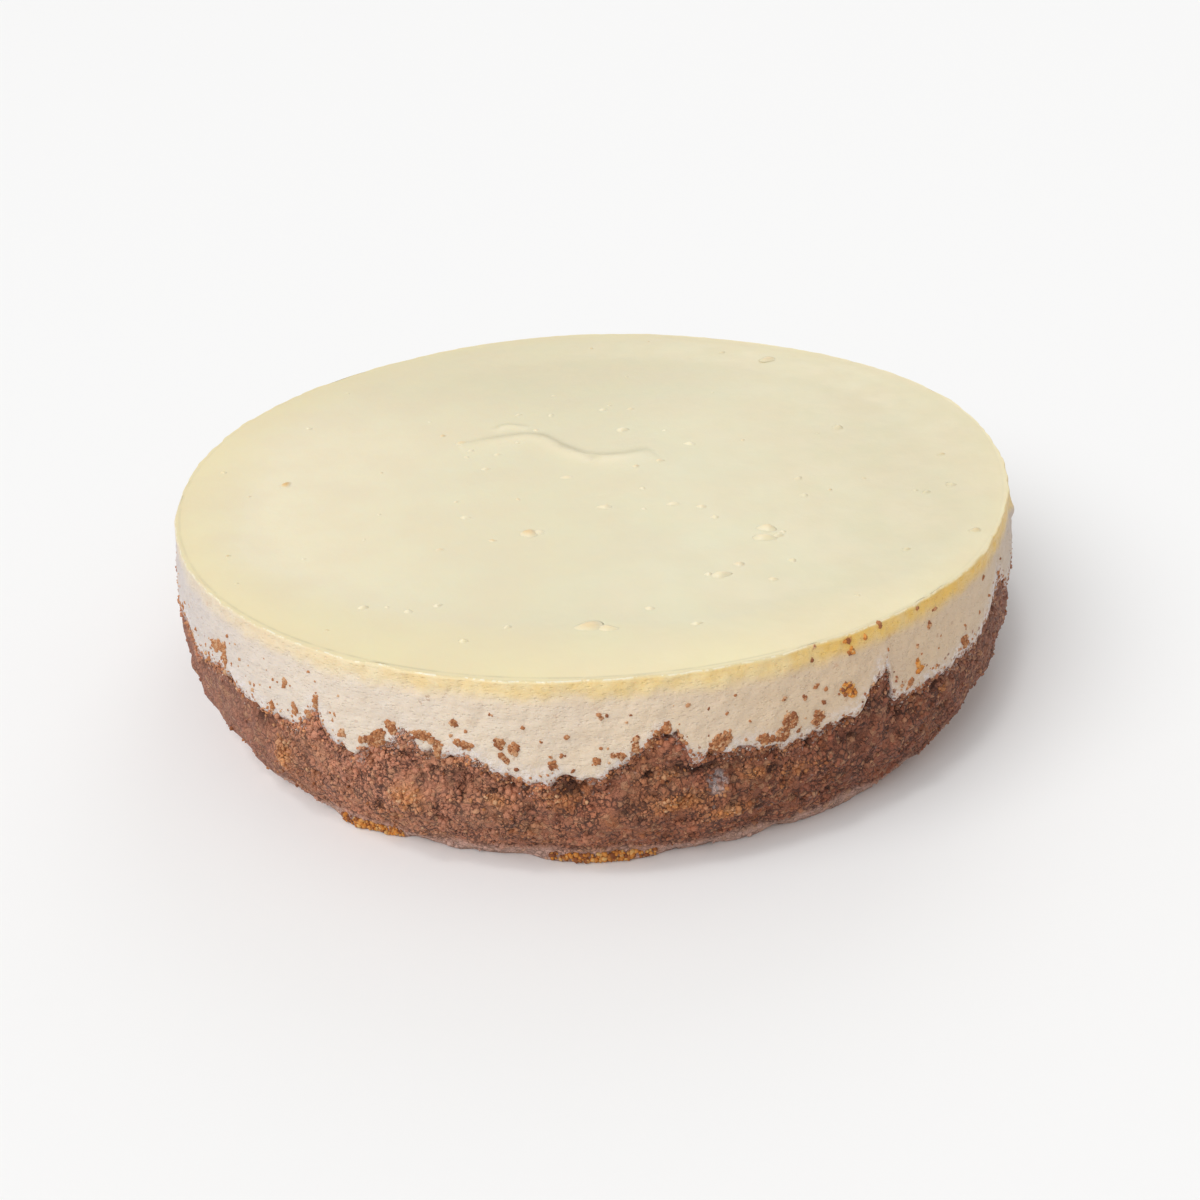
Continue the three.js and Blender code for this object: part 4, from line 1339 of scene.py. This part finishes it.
    def dome_faces(self) -> np.ndarray:
        """The triangles of one dome: between its rings, and fans that close its first and last ring."""
        i = np.arange(self.points)
        after = (i + 1) % self.points
        parts = []
        for row in range(self.rings - 1):
            low, high = row * self.points, (row + 1) * self.points
            parts += [np.column_stack([low + i, high + after, low + after])]
            parts += [np.column_stack([low + i, high + i, high + after])]
        inner = np.arange(1, self.points - 1)
        last = (self.rings - 1) * self.points
        parts.append(np.column_stack([np.zeros_like(inner), inner, inner + 1]))
        parts.append(np.column_stack([np.full_like(inner, last), last + inner + 1, last + inner]))
        return np.concatenate(parts)


GOLDEN = (1 + math.sqrt(5)) / 2


class Grain(Enum):
    """The solids that crumbs are made from: the eight-sided and the twenty-sided."""

    CHIP = ((1.0, 0.0, 0.0), math.sqrt(2) * 1.05, False)
    NUB = ((1.0, GOLDEN, 0.0), 1.1, True)

    def solid(self) -> tuple[np.ndarray, np.ndarray]:
        """The solid's corners on a ball of radius 1, and its faces.

        Returns:
            The corners, and the faces as corner numbers, facing outwards: every three corners that are
            all one edge apart.
        """
        base, reach, mirrored = self.value
        signs = [(a, b) for a in (-1, 1) for b in ((-1, 1) if mirrored else (1,))]
        flat = [(a * base[0], b * base[1], 0.0) for a, b in signs]
        corners = np.array([np.roll(p, k) for k in range(3) for p in flat])
        corners /= np.linalg.norm(corners[0])
        gaps = np.linalg.norm(corners[:, None] - corners[None], axis=2)
        near = (gaps > 0) & (gaps < reach)
        a, b, c = np.nonzero(near[:, :, None] & near[:, None, :] & near[None])
        ordered = (a < b) & (b < c)
        a, b, c = a[ordered], b[ordered], c[ordered]
        outward = np.einsum("ij,ij->i", np.cross(corners[b] - corners[a], corners[c] - corners[a]), corners[a])
        return corners, np.column_stack([a, np.where(outward > 0, b, c), np.where(outward > 0, c, b)])


def random_turns(rng: np.random.Generator, count: int) -> np.ndarray:
    """Rotation matrices of even random turns, from unit quaternions.

    Args:
        rng: The seeded source of numbers.
        count: How many.

    Returns:
        An array of 3 by 3 matrices.
    """
    q = rng.normal(size=(count, 4))
    w, x, y, z = (q / np.linalg.norm(q, axis=1, keepdims=True)).T
    rows = [
        [1 - 2 * (y * y + z * z), 2 * (x * y - w * z), 2 * (x * z + w * y)],
        [2 * (x * y + w * z), 1 - 2 * (x * x + z * z), 2 * (y * z - w * x)],
        [2 * (x * z - w * y), 2 * (y * z + w * x), 1 - 2 * (x * x + y * y)],
    ]
    return np.moveaxis(np.array(rows), 2, 0)


@dataclass
class LooseCrumbs:
    """Crumbs of one kind on the side, as small uneven solids joined in one mesh."""

    form: CakeForm
    name: str
    seed: int
    size: tuple[float, float]
    grain: Grain = Grain.NUB
    sink: float = 0.25
    stretch: float = 1.15
    most_triangles: int = 196000

    def make(
        self, angle: np.ndarray, height: np.ndarray, radius: np.ndarray, values: dict[str, np.ndarray]
    ) -> bpy.types.Object:
        """Joins the crumbs: each is the solid's corners, stretched, made uneven, turned and moved.

        Args:
            angle: Each crumb's angle in radians.
            height: Its height in millimetres.
            radius: The radius of the surface that it sits on.
            values: Named numbers for each crumb, its tone among them.

        Returns:
            The new object.
        """
        rng = np.random.default_rng(self.seed + 1)
        corners, faces = self.grain.solid()
        count = min(len(angle), self.most_triangles // len(faces))
        angle, height, radius = angle[:count], height[:count], radius[:count]
        size = blend(self.size[0], self.size[1], rng.random(count) ** 2)
        uneven = rng.uniform(0.52, 1.04, (count, len(corners), 1)) * rng.uniform(0.52, 1.0, (count, 1, 3))
        uneven *= self.stretch
        shape = np.einsum("nij,nkj->nki", random_turns(rng, count), corners[None] * uneven)
        out = self.form.kept_inside(angle, radius + size * (0.5 - self.sink), size * self.stretch)
        centre = np.column_stack([out * np.cos(angle), out * np.sin(angle), np.maximum(height, size * 0.95)])
        points = (shape * size[:, None, None] + centre[:, None]).reshape(-1, 3)
        points[:, 2] = np.maximum(points[:, 2], 0.02)
        all_faces = (faces[None] + len(corners) * np.arange(count)[:, None, None]).reshape(-1, 3)
        carried = {key: np.repeat(value[:count], len(corners)) for key, value in values.items()}
        return mesh_object(self.name, points, all_faces, carried, smooth=self.grain is Grain.NUB)


@dataclass(frozen=True)
class CrumbPatch:
    """A patch of crumbs that shows in the white: its angle, height, size along and up, and its lean."""

    at: float
    height: float
    long: float
    tall: float
    lean: float = 0.0


@dataclass
class CrumbScatter:
    """All the loose crumbs: on the biscuit side, at its foot and in the white filling."""

    form: CakeForm
    base: CrumbBase
    filling: CheeseFilling
    patch_scale: float = 1.5
    patches: tuple[CrumbPatch, ...] = (
        CrumbPatch(-115.3, 27.4, 4.6, 1.9),
        CrumbPatch(-114.2, 29.2, 2.2, 1.4),
        CrumbPatch(-112.6, 31.0, 1.6, 1.6),
        CrumbPatch(-108.3, 30.6, 3.6, 1.2, -0.3),
        CrumbPatch(-107.2, 28.5, 1.0, 2.6),
        CrumbPatch(-104.4, 30.0, 2.8, 1.3),
        CrumbPatch(-100.5, 31.0, 1.5, 1.7),
        CrumbPatch(-99.2, 30.0, 1.7, 1.8),
        CrumbPatch(-100.2, 28.0, 1.2, 1.0),
        CrumbPatch(-121.9, 32.4, 0.9, 2.2),
        CrumbPatch(-125.7, 28.8, 1.6, 2.0),
        CrumbPatch(-123.3, 29.3, 1.1, 1.3),
        CrumbPatch(-138.3, 31.4, 1.6, 4.0),
        CrumbPatch(-140.4, 33.0, 2.8, 2.2),
        CrumbPatch(-126.8, 34.3, 0.7, 1.7),
        CrumbPatch(-129.3, 28.0, 0.9, 1.8),
        CrumbPatch(-118.6, 27.9, 1.0, 0.9),
        CrumbPatch(-105.3, 34.2, 1.1, 0.9),
        CrumbPatch(-90.0, 35.6, 0.9, 0.8, -0.8),
        CrumbPatch(-90.9, 27.4, 1.2, 1.2),
        CrumbPatch(-95.0, 26.7, 1.5, 1.2),
        CrumbPatch(-86.6, 30.1, 0.9, 2.0),
        CrumbPatch(-84.6, 31.0, 3.4, 2.2, 0.3),
        CrumbPatch(-83.4, 32.6, 1.6, 1.6),
        CrumbPatch(-82.0, 30.4, 2.0, 3.0),
        CrumbPatch(-88.5, 28.2, 1.8, 0.9),
        CrumbPatch(-78.0, 29.2, 4.4, 2.6, 0.35),
        CrumbPatch(-66.7, 35.0, 0.7, 0.9),
        CrumbPatch(-70.6, 28.6, 3.2, 3.2, 0.15),
        CrumbPatch(-66.9, 28.9, 2.4, 2.2),
        CrumbPatch(-73.0, 27.5, 2.4, 1.4),
        CrumbPatch(-53.4, 27.8, 1.2, 1.6),
        CrumbPatch(-50.0, 37.2, 0.7, 1.0),
        CrumbPatch(-42.8, 28.8, 2.4, 2.0),
    )
    honey_patches: tuple[CrumbPatch, ...] = (
        CrumbPatch(-62.7, 41.9, 0.7, 0.7),
        CrumbPatch(-62.2, 39.4, 0.8, 1.2),
        CrumbPatch(-60.2, 41.3, 0.4, 0.5),
        CrumbPatch(-63.0, 32.7, 2.4, 1.8, -0.4),
        CrumbPatch(-52.0, 30.4, 0.7, 2.4),
    )
    dots: tuple[tuple[float, float], ...] = (
        (-66.7, 42.4),
        (-67.1, 40.3),
        (-51.9, 41.9),
        (-49.1, 39.8),
        (-58, 42.3),
        (-101.4, 36.6),
        (-98, 34.3),
        (-96.2, 31.6),
        (-93.6, 32.3),
        (-90.3, 30.2),
        (-94.2, 28.7),
        (-70.5, 34.4),
        (-68.2, 33.4),
        (-65.9, 31.6),
        (-48.7, 27.7),
        (-42.5, 31.7),
        (-39.1, 32),
        (-37.2, 38.1),
        (-52.2, 34.5),
        (-119.9, 29.6),
    )

    def on_base(self, name: str, seed: int, count: int, size: tuple[float, float], craggy: float) -> bpy.types.Object:
        """Spreads crumbs over the biscuit side, more of them where it is craggy and near its edge.

        Args:
            name: The piece's name.
            seed: Its seed.
            count: How many places are tried.
            size: Least and greatest crumb radius.
            craggy: From 0, even, to 1, only near the edge and in hollows.

        Returns:
            The new object.
        """
        rng = np.random.default_rng(seed)
        kind = LooseCrumbs(self.form, name, seed, size, sink=0.62)
        angle = rng.uniform(-math.pi, math.pi, count)
        height = rng.random(count) * (self.filling.ragged_edge(angle) + 0.5)
        radius, values = self.base.relief(angle, height)
        below = self.form.crumb_edge(angle) - height
        wanted = blend(1 - craggy, 1.0, ease(1 - (below - 1) / 7)) * (1 - values["smooth"])
        wanted = wanted * (1 - (0.25 + 0.5 * craggy) * values["side_shade"]) * (1 - 0.7 * values["hollow_shade"])
        wanted = wanted * (1 - values["smear"])
        wanted = wanted * blend(1.0, 1 - 0.6 * craggy, ease(noise_round(angle, height / 7, 80, 33)))
        kept = rng.random(count) < np.maximum(wanted, 0.8 * values["tan"])
        values["tone"] = np.clip(rng.normal(0.52, 0.2, count), 0, 1)
        return kind.make(angle[kept], height[kept], radius[kept], {k: v[kept] for k, v in values.items()})

    def golden(self) -> bpy.types.Object:
        """Golden crumbs: on the tan lumps, and a few anywhere."""
        rng = np.random.default_rng(41)
        lumps = [*self.base.ambers, *(lump for lump in self.form.lumps() if lump.out > 0.6 and lump.at > -20)]
        spots = [(lump.at, lump.height, lump.wide, lump.tall, int(10 * lump.wide * lump.tall)) for lump in lumps]
        places = [
            np.column_stack([rng.normal(at, wide * 0.6, n), rng.normal(height, tall * 0.6, n)])
            for at, height, wide, tall, n in spots
        ]
        anywhere = np.column_stack([rng.uniform(-180, 180, 600), rng.uniform(1, 26, 600)])
        degrees, height = np.concatenate([*places, anywhere]).T
        angle = np.radians(degrees)
        below = (height > 0.2) & (height < self.form.crumb_edge(angle))
        angle, height = angle[below], height[below]
        radius, values = self.base.relief(angle, height)
        kept = rng.random(len(angle)) > np.maximum(values["smooth"], 0.7 * values["side_shade"]) - 2 * values["tan"]
        kind = LooseCrumbs(self.form, "crumbs_golden", 41, (0.25, 0.75), sink=0.4)
        # Golden crumbs are darker where the side's painted shade lies.
        tone = rng.random(len(angle)) * (1 - 0.5 * values["side_shade"])
        return kind.make(angle[kept], height[kept], radius[kept], {"tone": tone[kept]})

    def honey(self) -> bpy.types.Object:
        """Honey-brown crumbs: large ones thick on the lips at the foot, and some patches of the filling."""
        rng = np.random.default_rng(43)
        counts = [int(28 * half) for _, half in self.form.lips]
        at, half = np.repeat(self.form.lips, counts, axis=0).T
        angle = np.radians(at + half * np.clip(rng.normal(0, 0.5, len(at)), -0.85, 0.85))
        height = 0.3 + 1.9 * rng.random(len(at)) ** 1.2
        radius, _ = self.base.relief(angle, height)
        sunk_angle, sunk_height = self.patch_places(rng, self.honey_patches).T
        sunk_angle = np.radians(sunk_angle)
        angle = np.concatenate([angle, sunk_angle])
        height = np.concatenate([height, sunk_height])
        radius = np.concatenate([radius, self.filling.side_radius(sunk_angle, sunk_height) - 0.32])
        kind = LooseCrumbs(self.form, "crumbs_honey", 43, (0.4, 0.9), sink=0.25)
        return kind.make(angle, height, radius, {"tone": rng.random(len(angle))})

    def patch_places(self, rng: np.random.Generator, patches: Iterable[CrumbPatch]) -> np.ndarray:
        """Places of crumbs in patches: each patch is three blobs that overlap, so that it is ragged.

        Args:
            rng: The seeded source of numbers.
            patches: The patches.

        Returns:
            Rows of an angle in degrees and a height in millimetres.
        """
        places = []
        degree = 180 / (math.pi * self.form.tin_radius)
        for patch in patches:
            count = int(8 + 13 * self.patch_scale**2 * patch.long * patch.tall)
            blob = rng.integers(0, 3, count)
            middle = rng.uniform(-0.28, 0.28, (3, 2))[blob]
            reach = np.sqrt(rng.random(count)) * 0.3
            turn = rng.uniform(0, TURN, count)
            along = (middle[:, 0] + reach * np.cos(turn)) * patch.long * self.patch_scale
            up = (middle[:, 1] + reach * np.sin(turn)) * patch.tall * self.patch_scale + patch.lean * along
            places.append(np.column_stack([patch.at + along * degree, patch.height + up]))
        return np.concatenate(places)

    def back_patches(self, rng: np.random.Generator) -> list[CrumbPatch]:
        """Seeded patches round the back, just above the crumbs' edge."""
        patches = []
        for at in rng.uniform(0, 178, 50):
            edge = float(self.form.crumb_edge(np.array([math.radians(at)]))[0])
            long, tall = rng.uniform(0.8, 3.4), rng.uniform(0.8, 2.2)
            patches.append(CrumbPatch(at, edge + 1 + rng.exponential(2.0), long, tall, rng.uniform(-0.4, 0.4)))
        return patches

    def in_filling(self) -> bpy.types.Object:
        """Crumbs in the white: in patches, as the dots that show, and single ones that thin out upwards."""
        rng = np.random.default_rng(57)
        kind = LooseCrumbs(self.form, "crumbs_in_filling", 57, (0.3, 0.85), sink=0.75)
        stray = np.concatenate([rng.uniform(-166, 175, 540), rng.uniform(-166, -118, 120)])
        above = self.form.crumb_edge(np.radians(stray)) + rng.exponential(2.8, len(stray))
        loose = np.column_stack([stray, above])
        loose = loose[above < self.form.height - 4.5]
        dots = np.repeat(self.dots, 4, axis=0)
        dots = dots + rng.normal(0, 1, dots.shape) * (0.12, 0.2)
        patches = self.patch_places(rng, [*self.patches, *self.back_patches(rng)])
        degrees, height = np.concatenate([dots, loose, patches]).T
        angle = np.radians(degrees)
        radius = self.filling.side_radius(angle, height)
        tone = rng.random(len(angle)) * 0.9
        tone = np.where(degrees < -118, 0.35 + 0.65 * tone, tone)
        return kind.make(angle, height, radius, {"tone": tone})

    def flecks(self) -> bpy.types.Object:
        """Flecks of filling among the topmost crumbs, so that the edge between the layers is fuzzy."""
        rng = np.random.default_rng(63)
        kind = LooseCrumbs(self.form, "filling_flecks", 63, (0.12, 0.3), Grain.CHIP, sink=0.2)
        angle = rng.uniform(-math.pi, math.pi, 3400)
        height = self.filling.ragged_edge(angle) - rng.exponential(0.8, 3400) + 0.7
        angle = angle + rng.normal(0, 0.006, 3400)
        radius, _ = self.base.relief(angle, height)
        return kind.make(angle, height, radius, {"tone": rng.random(len(angle))})

    def at_edge(self) -> bpy.types.Object:
        """Crumbs along the edge between the layers, also on the filling, so that its flanks are ragged."""
        rng = np.random.default_rng(67)
        kind = LooseCrumbs(self.form, "crumbs_at_edge", 67, (0.28, 0.7), sink=0.5)
        angle = rng.uniform(-math.pi, math.pi, 4200)
        height = self.filling.ragged_edge(angle) + rng.normal(-0.3, 0.6, 4200)
        angle = angle + rng.normal(0, 0.009, 4200)
        lumpy = noise_round(angle, height / 2.0, 260, 68) > -0.15
        angle, height = angle[lumpy], height[lumpy]
        radius, values = self.base.relief(angle, height)
        covered = height > self.filling.ragged_edge(angle)
        radius = np.where(covered, np.maximum(radius, self.filling.side_radius(angle, height)), radius)
        values["tone"] = np.clip(rng.normal(0.55, 0.2, len(angle)), 0, 1)
        values["hollow_shade"] = 0.4 * values["hollow_shade"]
        values["tan"] = np.clip(rng.normal(0.35, 0.3, len(angle)), 0, 1)
        return kind.make(angle, height, radius, values)


@dataclass
class Studio:
    """The floor, the soft light and the camera at the photograph's angle."""

    target: tuple[float, float, float] = (0.62, 0.0, 3.21)
    distance: float = 309.3
    elevation: float = 29.81
    roll: float = 2.52
    lens: float = 36.0
    floor_half: float = 12000.0

    def camera(self) -> bpy.types.Object:
        """Sets the camera up: back along the view line from the target, turned by the roll."""
        rise = math.radians(self.elevation)
        back = Vector((0, -math.cos(rise), math.sin(rise)))
        right = Vector((1, 0, 0))
        up = back.cross(right)
        turn = math.radians(self.roll)
        across = math.cos(turn) * right - math.sin(turn) * up
        upright = math.sin(turn) * right + math.cos(turn) * up
        data = bpy.data.cameras.new("photo_camera")
        data.lens = self.lens
        data.sensor_width = self.lens
        data.clip_start, data.clip_end = 0.01, 60.0
        obj = bpy.data.objects.new("photo_camera", data)
        place = Vector(self.target) * MM + back * self.distance * MM
        obj.matrix_world = Matrix.Translation(place) @ Matrix((across, upright, back)).transposed().to_4x4()
        bpy.context.scene.collection.objects.link(obj)
        bpy.context.scene.camera = obj
        return obj

    def floor(self) -> bpy.types.Object:
        """Lays a plain pale floor just under the cake."""
        half = self.floor_half
        corners = np.array([(-half, -half, 0), (half, -half, 0), (half, half, 0), (-half, half, 0)], float)
        faces = np.array([(0, 1, 2), (0, 2, 3)])
        obj = mesh_object("floor", corners, faces, {}, smooth=False)
        made = bpy.data.materials.new("plain_floor")
        tree = Tree(made)
        shader = tree.node("BsdfPrincipled", {"Base Color": Shade.FLOOR, "Roughness": 0.9})
        shader.inputs["Specular IOR Level"].default_value = 0.1
        tree.node("OutputMaterial", {"Surface": shader.outputs[0]})
        obj.data.materials.append(made)
        return obj

    def sun(self, name: str, towards: Vector, strength: float, spread: float, tint: tuple[float, float, float]) -> None:
        """Hangs a wide soft light so far off that the floor is lit evenly.

        Args:
            name: Its name.
            towards: The direction from the cake to the light.
            strength: Its strength.
            spread: How wide it looks from the cake, in degrees.
            tint: Its colour.
        """
        data = bpy.data.lights.new(name, "SUN")
        data.energy = strength
        data.angle = math.radians(spread)
        data.color = tint
        obj = bpy.data.objects.new(name, data)
        obj.matrix_world = (-towards).to_track_quat("-Z", "Y").to_matrix().to_4x4()
        bpy.context.scene.collection.objects.link(obj)

    def light(self) -> None:
        """Lights the cake: an even pale surround, a soft key from the front left and a weak back light."""
        world = bpy.data.worlds.new("studio")
        world.use_nodes = True
        background = world.node_tree.nodes["Background"]
        background.inputs["Color"].default_value = (1.0, 0.985, 0.965, 1.0)
        background.inputs["Strength"].default_value = 0.52
        bpy.context.scene.world = world
        self.sun("key", Vector((-0.66, -0.46, 0.95)), 1.75, 50.0, (0.97, 0.985, 1.0))
        self.sun("back", Vector((0.25, 1.0, 0.75)), 0.3, 30.0, (1.0, 1.0, 1.0))
        self.sun("window", Vector((-0.25, -0.15, 0.95)), 0.3, 8.0, (1.0, 1.0, 1.0))

    def set_up(self) -> None:
        """Makes everything round the cake and sets plain colour handling."""
        self.camera()
        self.floor()
        self.light()
        bpy.context.scene.view_settings.view_transform = "Standard"


def attach(piece: bpy.types.Object, slot: str, material: bpy.types.Material, *nodes: str) -> None:
    """Gives a piece its material and its body, hides the CAD nodes that it replaces, and logs its triangles.

    Args:
        piece: The object.
        slot: A material slot's name; not used.
        material: Its material.
        *nodes: CAD nodes that it replaces.
    """
    piece.data.materials.append(material)
    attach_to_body(piece, BODY)
    if nodes:
        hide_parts(*nodes)
    log.info("%s: %d triangles", piece.name, len(piece.data.polygons))


def main() -> None:
    """Builds the cake from the base up, then its surroundings."""
    logging.basicConfig(level=logging.INFO, format="%(name)s %(message)s")
    effects = Effects(crumble_group(), crevice_group(), cloud_group())
    form = CakeForm()
    base = CrumbBase(form)
    filling = CheeseFilling(form)
    crumbs = CrumbScatter(form, base, filling)
    biscuit = BiscuitFinish(effects)
    loose = biscuit.loose()
    cheese = CheeseFinish(effects).material()
    attach(base.build(), "biscuit_crumb", biscuit.core(), "crumb_base")
    attach(filling.build(), "baked_cheese", cheese, "cheese_filling")
    attach(BlisterField(filling).build(), "baked_cheese", cheese)
    golden = SpeckFinish("golden_crumb", Shade.CRUMB_AMBER, Shade.CRUMB_GOLD, Shade.CRUMB_STRAW).material()
    honey = SpeckFinish("honey_crumb", Shade.CRUMB_AMBER, Shade.CRUMB_HONEY, Shade.SKIN_SPOT).material()
    fleck = SpeckFinish("filling_fleck", Shade.BISCUIT_MILKY, Shade.WHITE_SEEP, Shade.WHITE, 0.7).material()
    attach(crumbs.on_base("crumbs_fine", 31, 13000, (0.3, 0.7), 0.2), "biscuit_crumb", loose)
    attach(crumbs.on_base("crumbs_coarse", 35, 17000, (0.42, 1.1), 0.6), "biscuit_crumb", loose)
    attach(crumbs.at_edge(), "biscuit_crumb", loose)
    attach(crumbs.golden(), "biscuit_crumb", golden)
    attach(crumbs.honey(), "biscuit_crumb", honey)
    attach(crumbs.in_filling(), "biscuit_crumb", golden)
    attach(crumbs.flecks(), "baked_cheese", fleck)
    Studio().set_up()


if __name__ == "__main__":
    main()
